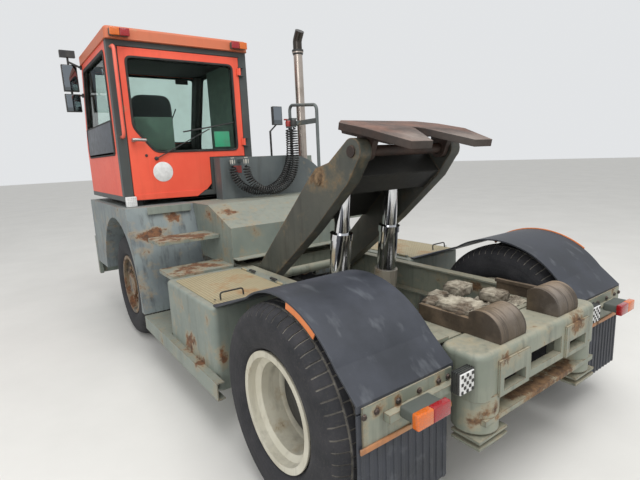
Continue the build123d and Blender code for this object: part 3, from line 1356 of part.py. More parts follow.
def on_plate(ahead, above):
    """Place in x and z from the plate's pin, in the plate's own tilted directions."""
    tilt = radians(PLATE_TILT)
    return (
        PLATE_PIN_X + ahead * cos(tilt) - above * sin(tilt),
        PLATE_PIN_Z + ahead * sin(tilt) + above * cos(tilt),
    )


# Coupling plate: a horseshoe with a throat, its rear arms falling as ramps, ribs below and two pin lugs
THROAT_AT = -60.0
ARM_OUT = 300.0
ARM_IN = 190.0
RIB_W = 40.0
plate_lean = radians(PLATE_TILT)
with BuildPart() as fifth_wheel:
    plate_plane = Plane(
        origin=(PLATE_PIN_X, 0, PLATE_PIN_Z),
        x_dir=(cos(plate_lean), 0, sin(plate_lean)),
        z_dir=(-sin(plate_lean), 0, cos(plate_lean)),
    )
    with BuildSketch(plate_plane.offset(UNDERSIDE - 30)) as top_line:
        with BuildLine():
            Polyline(
                (PLATE_FRONT, PLATE_HALF - 110),
                (PLATE_FRONT - 120, PLATE_HALF),
                (-PLATE_BREAK, PLATE_HALF),
                (-PLATE_REAR, ARM_OUT + 60),
                (-PLATE_REAR, ARM_IN),
                (THROAT_AT, THROAT_R),
                (THROAT_AT, -THROAT_R),
                (-PLATE_REAR, -ARM_IN),
                (-PLATE_REAR, -ARM_OUT - 60),
                (-PLATE_BREAK, -PLATE_HALF),
                (PLATE_FRONT - 120, -PLATE_HALF),
                (PLATE_FRONT, -PLATE_HALF + 110),
                close=True,
            )
        make_face()
        with Locations((THROAT_AT, 0)):
            Circle(THROAT_R, mode=Mode.SUBTRACT)
    extrude(top_line.sketch, amount=PLATE_RISE - UNDERSIDE + 30)
    side_prism(
        [
            on_plate(PLATE_FRONT + 60, PLATE_RISE),
            on_plate(-PLATE_BREAK, PLATE_RISE),
            on_plate(-PLATE_REAR, PLATE_RISE - PLATE_FALL),
            on_plate(-PLATE_REAR, PLATE_RISE - PLATE_FALL - PLATE_T),
            on_plate(-PLATE_BREAK, PLATE_RISE - PLATE_T),
            on_plate(PLATE_FRONT + 60, PLATE_RISE - PLATE_T),
        ],
        (-PLATE_HALF, PLATE_HALF),
        Mode.INTERSECT,
    )
    lug_out = CHEEK_OUT - CHEEK_T - GAP
    for side in (-1, 1):
        rib = (side * (lug_out - RIB_W), side * lug_out)
        side_prism(
            [
                on_plate(-240, PLATE_RISE - PLATE_T - 10),
                on_plate(-200, UNDERSIDE),
                on_plate(-75, UNDERSIDE),
                on_plate(-48, -40),
                on_plate(48, -40),
                on_plate(75, UNDERSIDE),
                on_plate(PLATE_FRONT - 60, UNDERSIDE),
                on_plate(PLATE_FRONT - 20, PLATE_RISE - PLATE_T + 1),
            ],
            rib,
        )
        bar_y(PLATE_PIN_X, PLATE_PIN_Z, rib, PIN_R + 26)
    side_prism(
        [
            on_plate(PLATE_FRONT - 70, UNDERSIDE),
            on_plate(PLATE_FRONT - 40, UNDERSIDE),
            on_plate(PLATE_FRONT - 20, PLATE_RISE - PLATE_T + 1),
            on_plate(PLATE_FRONT - 70, PLATE_RISE - PLATE_T + 1),
        ],
        (-lug_out + 1, lug_out - 1),
    )
    side_prism(
        [
            on_plate(40, UNDERSIDE),
            on_plate(70, UNDERSIDE),
            on_plate(70, PLATE_RISE - PLATE_T + 1),
            on_plate(40, PLATE_RISE - PLATE_T + 1),
        ],
        (-lug_out + 1, lug_out - 1),
    )
    bar_y(PLATE_PIN_X, PLATE_PIN_Z, (-CHEEK_OUT, CHEEK_OUT), PIN_R + PIN_FIT, Mode.SUBTRACT)
finish(fifth_wheel, "fifth_wheel")

# Curly lines: each a fat tube of its coil's outer size, from its gland down in a loop and up to its parked head
COIL_R = 44.0
COILS = (
    # name, then the route's points between the gland and the head
    (
        "coil_one",
        (
            (2440, 190, 1600),
            (2410, 135, 1490),
            (2400, 25, 1420),
            (2400, -125, 1405),
            (2405, -275, 1450),
            (2420, -395, 1545),
            (2440, -470, 1665),
            (2452, -510, 1800),
        ),
    ),
    (
        "coil_two",
        (
            (2338, 90, 1600),
            (2312, 35, 1490),
            (2300, -70, 1420),
            (2296, -215, 1408),
            (2300, -350, 1462),
            (2315, -450, 1565),
            (2335, -500, 1690),
            (2358, -518, 1820),
        ),
    ),
)
for (name, route), (gland_x, gland_y), park_x in zip(COILS, GLANDS, COIL_PARKS):
    points = [(REAR_X + gland_x, gland_y, GLAND_LOW)]
    points += [(REAR_X + x, y, z) for x, y, z in route]
    points += [(park_x, PARK_Y, PARK_Z - 150), (park_x, PARK_Y, PARK_Z - 20)]
    radii = []
    for before, here, after in zip(points, points[1:], points[2:]):
        come = Vector(*here) - Vector(*before)
        go = Vector(*after) - Vector(*here)
        half_turn = radians(come.get_angle(go)) / 2
        radii.append(0.45 * min(come.length, go.length) / tan(half_turn))
    print(name, [round(r) for r in radii])
    with BuildPart() as coil:
        with BuildLine() as coil_line:
            FilletPolyline(*points, radius=radii)
        with BuildSketch(coil_line.line ^ 0):
            Circle(COIL_R)
        sweep()
    length = coil_line.wires()[0].length
    print(name, round(length), "mm, volume over section times length", round(coil.part.volume / (pi * COIL_R**2 * length), 4))
    finish(coil, name)
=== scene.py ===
from math import cos, pi, radians, sin

import bmesh
import bpy
import numpy as np
from mathutils import Matrix, Vector


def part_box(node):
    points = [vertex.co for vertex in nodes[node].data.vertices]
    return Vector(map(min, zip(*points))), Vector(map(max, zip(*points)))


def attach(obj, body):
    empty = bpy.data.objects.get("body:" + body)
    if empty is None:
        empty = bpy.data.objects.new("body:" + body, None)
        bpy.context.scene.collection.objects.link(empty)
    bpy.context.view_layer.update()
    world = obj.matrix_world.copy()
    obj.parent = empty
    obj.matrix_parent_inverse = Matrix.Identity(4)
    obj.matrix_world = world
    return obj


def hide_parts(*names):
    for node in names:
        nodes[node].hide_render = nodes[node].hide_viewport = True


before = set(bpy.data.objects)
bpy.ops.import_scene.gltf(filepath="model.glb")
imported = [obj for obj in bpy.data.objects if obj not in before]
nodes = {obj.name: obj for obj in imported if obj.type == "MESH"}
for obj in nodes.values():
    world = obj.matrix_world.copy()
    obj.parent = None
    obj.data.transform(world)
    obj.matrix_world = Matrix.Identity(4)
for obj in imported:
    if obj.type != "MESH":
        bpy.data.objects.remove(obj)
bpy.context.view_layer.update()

# Terminal tractor, in metres. +X is forward, +Y left, +Z up; the floor is z = 0.

MM = 0.001
HANDS = ((1, "left"), (-1, "right"))

# Places read from the frame
rear_tyre_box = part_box("rear_tyres_left")
front_tyre_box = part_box("front_tyre_left")
door_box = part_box("rear_door")
AXLE_Z = (rear_tyre_box[0].z + rear_tyre_box[1].z) / 2
REAR_X = (rear_tyre_box[0].x + rear_tyre_box[1].x) / 2
FRONT_X = (front_tyre_box[0].x + front_tyre_box[1].x) / 2
TYRE_RADIUS = (rear_tyre_box[1].z - rear_tyre_box[0].z) / 2
TYRE_WIDTH = front_tyre_box[1].y - front_tyre_box[0].y
CAB_BACK_X = door_box[0].x


# Making meshes

def new_piece(name, points, faces, body, finish, sharp=35.0):
    """Mesh object from points and rows of corner numbers, smooth up to an angle, riding on a body."""
    mesh = bpy.data.meshes.new(name)
    mesh.from_pydata(
        np.asarray(points, float).reshape(-1, 3).tolist(), [], [list(map(int, f)) for f in faces])
    mesh.validate()
    mesh.polygons.foreach_set("use_smooth", np.ones(len(mesh.polygons), bool))
    mesh.set_sharp_from_angle(angle=radians(sharp))
    mesh.materials.append(finish)
    piece = bpy.data.objects.new(name, mesh)
    bpy.context.scene.collection.objects.link(piece)
    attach(piece, body)
    return piece


def weld(piece, reach=1e-5):
    """Merges points that meet and turns every face outwards."""
    work = bmesh.new()
    work.from_mesh(piece.data)
    bmesh.ops.remove_doubles(work, verts=work.verts, dist=reach)
    bmesh.ops.dissolve_degenerate(work, edges=work.edges, dist=reach)
    bmesh.ops.recalc_face_normals(work, faces=work.faces)
    work.to_mesh(piece.data)
    work.free()
    return piece


def grid_faces(rows, columns, wrap_rows=False, wrap_columns=False, start=0):
    """Corner numbers of the squares between the points of a grid, told row by row."""
    number = start + np.arange(rows * columns).reshape(rows, columns)
    if wrap_rows:
        number = np.vstack([number, number[:1]])
    if wrap_columns:
        number = np.hstack([number, number[:, :1]])
    squares = np.stack([number[:-1, :-1], number[:-1, 1:], number[1:, 1:], number[1:, :-1]], axis=-1)
    return squares.reshape(-1, 4)


def unit(v):
    """Vectors divided by their lengths."""
    return v / np.maximum(np.linalg.norm(v, axis=-1, keepdims=True), 1e-12)


def squared(v, power):
    """A wave's values raised to a power, sign kept, which squares off the circle that they draw."""
    return np.sign(v) * np.abs(v) ** power


def carried(profile, path, up=(0.0, 0.0, 1.0)):
    """Profile carried along a path, square to it: its first number sideways, its second upwards."""
    path = np.asarray(path, float)
    profile = np.asarray(profile, float)
    ahead = unit(np.gradient(path, axis=0))
    side = unit(np.cross(ahead, np.asarray(up, float)))
    top = np.cross(side, ahead)
    sideways = profile[None, :, 0, None] * side[:, None]
    upwards = profile[None, :, 1, None] * top[:, None]
    return path[:, None] + sideways + upwards


def bar_piece(name, profile, path, body, finish, up=(0.0, 0.0, 1.0), closed_path=False, sharp=35.0):
    """Solid bar: a closed profile carried along a path, with its ends capped."""
    points = carried(profile, path, up)
    rows, columns = points.shape[:2]
    faces = grid_faces(rows, columns, closed_path, True).tolist()
    if not closed_path:
        faces.append(list(range(columns)))
        faces.append([(rows - 1) * columns + i for i in reversed(range(columns))])
    return weld(new_piece(name, points, faces, body, finish, sharp))


def circle(radius, steps=12):
    """Corners of a regular polygon round the origin."""
    turn = np.arange(steps) * 2 * pi / steps
    return np.stack([radius * np.cos(turn), radius * np.sin(turn)], axis=1)


def flat_bar(width, height, edge=0.002):
    """Closed outline of a flat bar with broken corners."""
    w, h = width / 2, height / 2
    return np.array([
        (-w + edge, -h), (w - edge, -h), (w, -h + edge), (w, h - edge),
        (w - edge, h), (-w + edge, h), (-w, h - edge), (-w, -h + edge),
    ])


def bent_path(corners, radius, steps=6):
    """Path along straight runs, corners rounded by quadratic curves that start one radius before."""
    corners = np.asarray(corners, float)
    share = np.linspace(0, 1, steps)[:, None]
    runs = [corners[:1]]
    for before, here, after in zip(corners, corners[1:], corners[2:]):
        start = here + unit(before - here) * min(radius, np.linalg.norm(before - here) / 2)
        end = here + unit(after - here) * min(radius, np.linalg.norm(after - here) / 2)
        runs.append((1 - share) ** 2 * start + 2 * share * (1 - share) * here + share**2 * end)
    runs.append(corners[-1:])
    return np.vstack(runs)


def turned(name, outline, centre, axis, body, finish, steps=48, sharp=35.0):
    """Solid of revolution: an outline of (place along the axis, radius) turned round the axis."""
    outline = np.asarray(outline, float)
    axis = unit(np.asarray(axis, float))
    helper = np.array([0.0, 0.0, 1.0]) if abs(axis[2]) < 0.9 else np.array([1.0, 0.0, 0.0])
    first = unit(np.cross(axis, helper))
    second = np.cross(axis, first)
    turn = np.arange(steps) * 2 * pi / steps
    spoke = np.cos(turn)[:, None] * first + np.sin(turn)[:, None] * second
    along = outline[None, :, 0, None] * axis
    outward = outline[None, :, 1, None] * spoke[:, None]
    points = np.asarray(centre, float) + along + outward
    faces = grid_faces(steps, len(outline), True, False)
    return weld(new_piece(name, points, faces, body, finish, sharp))


def block_points(low, high, edge, steps=3):
    """Box with rounded edges: a sphere's grid whose eighths are moved out to the box's corners."""
    low, high = np.asarray(low, float), np.asarray(high, float)
    core = (high - low) / 2 - edge
    round_step = np.linspace(0, pi / 2, steps + 1)
    around = np.concatenate([q * pi / 2 + round_step for q in range(4)])
    sign_x = np.repeat([1, -1, -1, 1], steps + 1)
    sign_y = np.repeat([1, 1, -1, -1], steps + 1)
    lift = np.concatenate([round_step - pi / 2, round_step])
    sign_z = np.repeat([-1, 1], steps + 1)
    ring = np.cos(lift)[:, None]
    x = sign_x * core[0] + edge * ring * np.cos(around)
    y = sign_y * core[1] + edge * ring * np.sin(around)
    z = (sign_z * core[2] + edge * np.sin(lift))[:, None] + 0 * around
    grid = np.stack([x, y, z], axis=-1) + (low + high) / 2
    rows, columns = grid.shape[:2]
    faces = grid_faces(rows, columns, False, True).tolist()
    faces.append(list(reversed(range(columns))))
    faces.append([(rows - 1) * columns + i for i in range(columns)])
    return grid.reshape(-1, 3), faces


def block(name, low, high, edge, body, finish, turn=None):
    """Rounded block between two corners, turned about its middle when a matrix is given."""
    points, faces = block_points(low, high, edge)
    if turn is not None:
        middle = (np.asarray(low, float) + np.asarray(high, float)) / 2
        points = (points - middle) @ np.asarray(turn, float).T + middle
    return weld(new_piece(name, points, faces, body, finish))


def joined(name, lots, body, finish, sharp=35.0):
    """One piece from several lots of points and faces."""
    points, faces, start = [], [], 0
    for lot_points, lot_faces in lots:
        lot_points = np.asarray(lot_points, float).reshape(-1, 3)
        points.append(lot_points)
        faces += [[int(c) + start for c in face] for face in lot_faces]
        start += len(lot_points)
    return new_piece(name, np.vstack(points), faces, body, finish, sharp)


def repeated(shape, faces, frames):
    """The same small shape set at many frames, each an origin and three directions, as one lot."""
    shape = np.asarray(shape, float)
    origins = np.array([f[0] for f in frames], float)
    axes = np.array([f[1] for f in frames], float)
    points = origins[:, None] + np.einsum("pk,fkd->fpd", shape, axes)
    shift = np.arange(len(frames)) * len(shape)
    return points.reshape(-1, 3), [[c + s for c in face] for s in shift for face in faces]


WASHER_RADIUS = 0.72
CORNER_RADIUS = 0.577
WASHER_TOP = 0.18
BEVEL_START = 0.88
BEVEL_IN = 0.86


def hexagon_head(across, height):
    """Bolt head on a washer, in its own directions: rings of twelve corners up to a broken top edge."""
    washer = circle(across * WASHER_RADIUS, 12)
    corner = circle(across * CORNER_RADIUS, 12)
    corner[1::2] *= cos(pi / 6)
    rings = [
        np.c_[washer, np.zeros(12)],
        np.c_[washer, np.full(12, height * WASHER_TOP)],
        np.c_[corner, np.full(12, height * WASHER_TOP)],
        np.c_[corner, np.full(12, height * BEVEL_START)],
        np.c_[corner * BEVEL_IN, np.full(12, height)],
    ]
    points = np.vstack(rings)
    faces = grid_faces(5, 12, False, True).tolist() + [list(range(48, 60))]
    return points, [list(f) for f in faces]


def face_frame(origin, normal, turn=0.0):
    """Origin with two directions in a face and its normal."""
    normal = unit(np.asarray(normal, float))
    helper = np.array([0.0, 0.0, 1.0]) if abs(normal[2]) < 0.9 else np.array([1.0, 0.0, 0.0])
    first = unit(np.cross(helper, normal))
    second = np.cross(normal, first)
    a = cos(turn) * first + sin(turn) * second
    return (origin, (a, np.cross(normal, a), normal))


def bolts(name, places, normal, across, height, body, finish):
    """Bolt heads at places on a face, each turned a little further than the one before."""
    points, faces = hexagon_head(across, height)
    frames = [face_frame(place, normal, 0.7 * i) for i, place in enumerate(places)]
    return joined(name, [repeated(points, faces, frames)], body, finish, 30.0)


# Making materials

MIX_FACTOR, MIX_A, MIX_B, MIX_RESULT = 0, 6, 7, 2


def linear(code):
    """Linear colour from an sRGB hex code."""
    shares = [int(code[i:i + 2], 16) / 255 for i in (1, 3, 5)]
    return [s / 12.92 if s <= 0.04045 else ((s + 0.055) / 1.055) ** 2.4 for s in shares] + [1.0]


def per_metre(size_mm):
    """Pattern scale for a feature of this size."""
    return 1000.0 / size_mm


def add(tree, kind, inputs, **settings):
    """One node: settings are its properties, inputs its sockets' values or what leads to them."""
    node = tree.nodes.new("ShaderNode" + kind)
    for name, value in settings.items():
        setattr(node, name, value)
    for key, value in inputs.items():
        if isinstance(value, bpy.types.NodeSocket):
            tree.links.new(value, node.inputs[key])
        else:
            node.inputs[key].default_value = value
    return node


def blank(name, **sockets):
    """Material with values for its shader's sockets, its nodes and the place on the object."""
    material = bpy.data.materials.new(name)
    material.use_nodes = True
    tree = material.node_tree
    for key, value in sockets.items():
        tree.nodes["Principled BSDF"].inputs[key.replace("_", " ")].default_value = value
    return material, tree, add(tree, "TexCoord", {}).outputs["Object"]


def surfaced(material, colour, rough=None, normal=None):
    """The material, once its colour, roughness and normal lead to its shader."""
    tree = material.node_tree
    for socket, source in (("Base Color", colour), ("Roughness", rough), ("Normal", normal)):
        if source is not None:
            tree.links.new(source, tree.nodes["Principled BSDF"].inputs[socket])
    return material


def face_normal(tree):
    """Normal of the face itself."""
    return add(tree, "NewGeometry", {}).outputs["Normal"]


def noise(tree, where, size_mm, detail=5.0, rough=0.6, stretch=None):
    """Cloudy pattern of a size, drawn out along the axes by a stretch."""
    if stretch is not None:
        where = add(tree, "Mapping", {"Vector": where, "Scale": stretch}).outputs[0]
    inputs = {"Vector": where, "Scale": per_metre(size_mm), "Detail": detail, "Roughness": rough}
    return add(tree, "TexNoise", inputs).outputs[0]


def between(tree, value, low, high, to_low=0.0, to_high=1.0):
    """A value's place between two limits, as a share or between two other values."""
    inputs = {"Value": value, "From Min": low, "From Max": high, "To Min": to_low, "To Max": to_high}
    return add(tree, "MapRange", inputs).outputs[0]


def mixed(tree, share, first, second):
    """Colour between two colours."""
    first = linear(first) if isinstance(first, str) else first
    second = linear(second) if isinstance(second, str) else second
    inputs = {MIX_FACTOR: share, MIX_A: first, MIX_B: second}
    return add(tree, "Mix", inputs, data_type="RGBA").outputs[MIX_RESULT]


def worked(tree, operation, first, second=0.0):
    """Result of one sum on one or two values."""
    return add(tree, "Math", {0: first, 1: second}, operation=operation).outputs[0]


def rounded_normal(tree, radius_mm, samples=4):
    """Normal that turns softly over an edge, as on folded and cast steel."""
    return add(tree, "Bevel", {"Radius": radius_mm * MM}, samples=samples).outputs[0]


def edge_share(tree, soft):
    """How near a point is to an edge: the share by which the rounded normal leaves the face's own."""
    same = add(tree, "VectorMath", {0: soft, 1: face_normal(tree)}, operation="DOT_PRODUCT").outputs["Value"]
    return between(tree, same, 0.995, 0.88)


def upward_share(tree):
    """How far a face looks up."""
    return between(tree, add(tree, "SeparateXYZ", {0: face_normal(tree)}).outputs["Z"], 0.55, 0.95)


def near(tree, where, centre, half):
    """Share that is 1 at a place and falls to nothing at its half sizes."""
    away = add(tree, "VectorMath", {0: where, 1: centre}, operation="SUBTRACT").outputs[0]
    away = add(tree, "VectorMath", {0: away, 1: half}, operation="DIVIDE").outputs[0]
    return between(tree, add(tree, "VectorMath", {0: away}, operation="LENGTH").outputs["Value"], 1.0, 0.0)


def bumped(tree, height, depth_mm, normal):
    """Normal tipped by a pattern's height, of a depth."""
    inputs = {"Height": height, "Distance": depth_mm * MM, "Strength": 1.0, "Normal": normal}
    return add(tree, "Bump", inputs).outputs[0]


def painted_steel(
    name, coat, faded, gloss=0.45, rust=0.5, rust_mm=170.0, edge_wear=0.5, edge_mm=5.0, dust="#8F8B80",
    dust_share=0.5, grime="#3B3A35", grime_share=0.35, deep_rust="#46342A", bright_rust="#80583C",
    stain_tone="#A08C6C", coat_weight=0.0, blooms=(), painted_shade_place=None,
):
    """Sprayed enamel on steel: the coat fades in patches, rust breaks out in blooms and along edges, rain
    draws dark streaks down the sides and dust lies on what faces up. rust is a share of the surface, and
    blooms are places with half sizes and strengths where it has broken through. A shaded place, given with
    its half sizes, is painted near-black: painted shade, as in a recess between parts."""
    material, tree, where = blank(name, Coat_Weight=coat_weight, Coat_Roughness=0.2)
    soft = rounded_normal(tree, edge_mm)
    edge = edge_share(tree, soft)
    cloud = noise(tree, where, 420.0, 4.0)
    fine = noise(tree, where, 34.0, 8.0, 0.7)
    bloom = noise(tree, where, rust_mm, 9.0, 0.68)
    streak = noise(tree, where, 60.0, 5.0, 0.6, (1.0, 1.0, 0.09))
    colour = mixed(tree, between(tree, cloud, 0.35, 0.65), coat, faded)
    dark = worked(tree, "MULTIPLY", between(tree, streak, 0.52, 0.72), grime_share)
    colour = mixed(tree, dark, colour, grime)
    up = worked(tree, "MULTIPLY", upward_share(tree), between(tree, fine, 0.25, 0.7))
    dusty = worked(tree, "MULTIPLY", up, dust_share)
    colour = mixed(tree, dusty, colour, dust)
    lift = worked(tree, "MULTIPLY", edge, 0.22 * edge_wear)
    spread = worked(tree, "ADD", bloom, lift)
    start = 0.74 - 0.22 * rust
    for centre, half, strength in blooms:
        more = worked(tree, "MULTIPLY", near(tree, where, centre, half), strength)
        spread = worked(tree, "ADD", spread, more)
    stain = worked(tree, "MULTIPLY", between(tree, spread, start - 0.10, start + 0.03), 0.6)
    colour = mixed(tree, stain, colour, stain_tone)
    bare = between(tree, spread, start, start + 0.075)
    iron = mixed(tree, between(tree, fine, 0.35, 0.62), deep_rust, bright_rust)
    colour = mixed(tree, bare, colour, iron)
    # Painted shade: near-black round the shaded place, where a recess between parts lies in shade.
    if painted_shade_place:
        black = between(tree, near(tree, where, *painted_shade_place), 0.0, 0.10, 0.0, 0.96)
        colour = mixed(tree, black, colour, "#262624")
    rough = between(tree, fine, 0.2, 0.8, gloss - 0.06, gloss + 0.1)
    rough = worked(tree, "ADD", rough, worked(tree, "MULTIPLY", bare, 0.4))
    rough = worked(tree, "ADD", rough, worked(tree, "MULTIPLY", dusty, 0.35))
    relief = worked(tree, "ADD", worked(tree, "MULTIPLY", bare, fine), worked(tree, "MULTIPLY", cloud, 0.2))
    return surfaced(material, colour, rough, bumped(tree, relief, 1.6, soft))


def worn_iron(
    name, high, low, polish="#8A827A", gloss=0.55, edge_mm=6.0, grain_mm=45.0, cloud_mm=230.0,
    metallic=0.15, rubbed_place=None, groove=False, painted_shade_below=0.0,
):
    """Bare cast or rolled steel that rubs on trailers: brown rust, greasy dark hollows and brighter rubbed
    edges, with one place that is rubbed pale, lengthwise grooves where it is a ramp, and painted shade, a
    near-black, on what doesn't face up."""
    material, tree, where = blank(name, Metallic=metallic)
    soft = rounded_normal(tree, edge_mm)
    edge = edge_share(tree, soft)
    cloud = noise(tree, where, cloud_mm, 6.0, 0.65)
    grain = noise(tree, where, grain_mm, 9.0, 0.72)
    colour = mixed(tree, between(tree, cloud, 0.38, 0.62), low, high)
    colour = mixed(tree, between(tree, grain, 0.55, 0.75, 0.0, 0.55), colour, "#2A2522")
    rubbed = worked(tree, "MULTIPLY", edge, between(tree, grain, 0.35, 0.6))
    if rubbed_place:
        worn_off = between(tree, near(tree, where, *rubbed_place), 0.1, 0.6)
        worn_off = worked(tree, "MULTIPLY", worn_off, between(tree, cloud, 0.35, 0.6, 0.25, 0.9))
        rubbed = worked(tree, "MAXIMUM", rubbed, worn_off)
    colour = mixed(tree, rubbed, colour, polish)
    if groove:
        line = noise(tree, where, 26.0, 4.0, 0.65, (0.08, 1.0, 0.08))
        colour = mixed(tree, between(tree, line, 0.48, 0.60, 0.0, 0.7), colour, "#42362B")
        grain = worked(tree, "ADD", grain, between(tree, line, 0.45, 0.6, 0.9, 0.0))
    # Painted shade: faces that don't look up are darkened towards near-black.
    if painted_shade_below:
        below = worked(tree, "SUBTRACT", 1.0, upward_share(tree))
        colour = mixed(tree, worked(tree, "MULTIPLY", below, painted_shade_below), colour, "#221F1D")
    rough = between(tree, grain, 0.2, 0.8, gloss - 0.12, gloss + 0.2)
    return surfaced(material, colour, rough, bumped(tree, grain, 2.2, soft))


CHEQUER_PITCH = 0.046


def chequer_steel(name, raised, ground):
    """Chequer plate: short raised bars that turn a right angle from one to the next, worn pale on top, dust
    between them, and brown stains where water stands."""
    material, tree, where = blank(name)
    soft = rounded_normal(tree, 3.0)
    place = add(tree, "SeparateXYZ", {0: where})
    wave = []
    for sign in ("ADD", "SUBTRACT"):
        askew = worked(tree, sign, place.outputs["X"], place.outputs["Y"])
        wave.append(worked(tree, "SINE", worked(tree, "MULTIPLY", askew, 2 * pi / CHEQUER_PITCH)))
    bars = worked(tree, "MULTIPLY", wave[0], wave[1])
    top = between(tree, bars, 0.30, 0.55)
    cloud = noise(tree, where, 260.0, 6.0, 0.65)
    fine = noise(tree, where, 30.0, 8.0, 0.7)
    colour = mixed(tree, between(tree, cloud, 0.35, 0.65), ground, "#9F9478")
    colour = mixed(tree, worked(tree, "MULTIPLY", top, 0.85), colour, raised)
    wet = worked(tree, "ADD", cloud, worked(tree, "MULTIPLY", fine, 0.35))
    colour = mixed(tree, between(tree, wet, 0.68, 0.84, 0.0, 0.75), colour, "#94693C")
    return surfaced(material, colour, between(tree, fine, 0.2, 0.8, 0.5, 0.8), bumped(tree, top, 1.5, soft))


def guard_rubber_sheet(name, tone, worn, gloss=0.5):
    """Thick smooth rubber sheet, blue-black with a dull bloom, fine scratches and rubbed edges."""
    material, tree, where = blank(name, Specular_IOR_Level=0.4)
    soft = rounded_normal(tree, 4.0)
    edge = edge_share(tree, soft)
    cloud = noise(tree, where, 300.0, 5.0)
    scratch = noise(tree, where, 70.0, 3.0, 0.55, (0.25, 1.0, 0.8))
    colour = mixed(tree, between(tree, cloud, 0.35, 0.7), tone, worn)
    colour = mixed(tree, between(tree, scratch, 0.60, 0.74, 0.0, 0.26), colour, "#777B80")
    colour = mixed(tree, worked(tree, "MULTIPLY", edge, 0.35), colour, "#6E7072")
    rough = between(tree, cloud, 0.2, 0.8, gloss - 0.1, gloss + 0.16)
    return surfaced(material, colour, rough, bumped(tree, scratch, 0.5, soft))


SIDE_RINGS = 34


def tyre_rubber_compound(name):
    """Vulcanised rubber: dark grey, road dust in the grooves, moulded rings on the sidewall."""
    material, tree, where = blank(name, Specular_IOR_Level=0.35)
    section = add(tree, "SeparateXYZ", {0: add(tree, "UVMap", {}, uv_map="across").outputs[0]})
    across, cut = section.outputs["Y"], section.outputs["X"]
    rings = worked(tree, "SINE", worked(tree, "MULTIPLY", across, 2 * pi * SIDE_RINGS))
    side = between(tree, worked(tree, "ABSOLUTE", worked(tree, "SUBTRACT", across, 0.5)), 0.25, 0.3)
    cloud = noise(tree, where, 90.0, 6.0, 0.7)
    fine = noise(tree, where, 9.0, 4.0, 0.6)
    colour = mixed(tree, between(tree, cloud, 0.35, 0.7), "#232427", "#38373A")
    colour = mixed(tree, between(tree, fine, 0.55, 0.75, 0.0, 0.3), colour, "#5C5850")
    dusty = worked(tree, "MULTIPLY", cut, between(tree, cloud, 0.35, 0.6, 0.4, 0.95))
    colour = mixed(tree, dusty, colour, "#8D887F")
    rings = worked(tree, "MULTIPLY", worked(tree, "MULTIPLY", rings, side), 0.3)
    relief = bumped(tree, worked(tree, "ADD", rings, fine), 0.9, face_normal(tree))
    return surfaced(material, colour, between(tree, cloud, 0.2, 0.8, 0.72, 0.9), relief)


def hard_chrome(name):
    """Ground and chromed rod: mirror bright, with a film of oil and faint dust low down."""
    material, tree, where = blank(name, Metallic=1.0)
    film = noise(tree, where, 120.0, 5.0, 0.6, (1.0, 1.0, 0.2))
    colour = mixed(tree, between(tree, film, 0.5, 0.8, 0.0, 0.6), "#D6D7DA", "#7D7C7A")
    return surfaced(material, colour, between(tree, film, 0.4, 0.8, 0.07, 0.3))


def stainless_tube(name, tone="#B3A9A0", gloss=0.28, soot_z=None):
    """Brushed stainless tube, browned where the exhaust heats it and black with soot above a height."""
    material, tree, where = blank(name, Metallic=0.9)
    brush = noise(tree, where, 7.0, 3.0, 0.5, (1.0, 1.0, 0.04))
    cloud = noise(tree, where, 160.0, 5.0)
    colour = mixed(tree, between(tree, cloud, 0.45, 0.75, 0.0, 0.7), tone, "#8A7C70")
    if soot_z:
        height = add(tree, "SeparateXYZ", {0: where}).outputs["Z"]
        colour = mixed(tree, between(tree, height, soot_z, soot_z + 0.02, 0.0, 0.9), colour, "#2A2826")
    return surfaced(material, colour, between(tree, brush, 0.2, 0.8, gloss - 0.08, gloss + 0.15))


def moulded_plastic(name, tone, gloss=0.5, grain_mm=2.5):
    """Injection-moulded plastic with a fine leather grain that scatters the light."""
    material, tree, where = blank(name, IOR=1.46)
    soft = rounded_normal(tree, 3.0)
    cloud = noise(tree, where, 80.0, 4.0)
    grain = noise(tree, where, grain_mm * 3, 3.0)
    colour = mixed(tree, between(tree, cloud, 0.3, 0.8, 0.0, 0.5), tone, "#5A5853")
    rough = between(tree, cloud, 0.2, 0.8, gloss - 0.08, gloss + 0.15)
    return surfaced(material, colour, rough, bumped(tree, grain, 0.25, soft))


def lamp_lens(name, tone):
    """Acrylic lens, clear coloured plastic over small prisms that break up the light."""
    material, tree, where = blank(name, IOR=1.49, Coat_Weight=0.6, Coat_Roughness=0.05)
    prism = add(tree, "TexVoronoi", {"Vector": where, "Scale": per_metre(9.0)}).outputs["Distance"]
    colour = mixed(tree, between(tree, prism, 0.1, 0.7), tone, "#1E0606")
    colour = mixed(tree, 0.75, colour, tone)
    relief = bumped(tree, prism, 0.8, face_normal(tree))
    return surfaced(material, colour, between(tree, prism, 0.0, 0.8, 0.12, 0.3), relief)


def window_glass(name, tone="#DDEBE6"):
    """Toughened glass, faintly green, with a thin veil of dust in patches."""
    material, tree, where = blank(name, Transmission_Weight=1.0, IOR=1.1, Roughness=0.0)
    veil = noise(tree, where, 240.0, 5.0)
    colour = mixed(tree, between(tree, veil, 0.4, 0.8, 0.0, 0.25), tone, "#B8BDB6")
    return surfaced(material, colour)


def silvered_glass(name, tone):
    """Mirror glass: silver behind a smooth pane, so only its tint and its gloss reach the eye."""
    return blank(name, Base_Color=linear(tone), Metallic=1.0, Roughness=0.03)[0]


def woven_cloth(name, warp, weft):
    """Seat cloth: warp and weft threads crossing, drawn coarse enough to show."""
    material, tree, where = blank(name, Sheen_Weight=0.3, Sheen_Roughness=0.5, Roughness=0.9)
    inputs = {"Vector": where, "Scale": per_metre(8.0), "Color1": linear(warp), "Color2": linear(weft)}
    spot = add(tree, "TexChecker", inputs)
    cloud = noise(tree, where, 60.0, 4.0)
    colour = mixed(tree, between(tree, cloud, 0.3, 0.8, 0.0, 0.4), spot.outputs["Color"], "#3A3A3C")
    relief = bumped(tree, spot.outputs["Fac"], 0.4, face_normal(tree))
    return surfaced(material, colour, normal=relief)


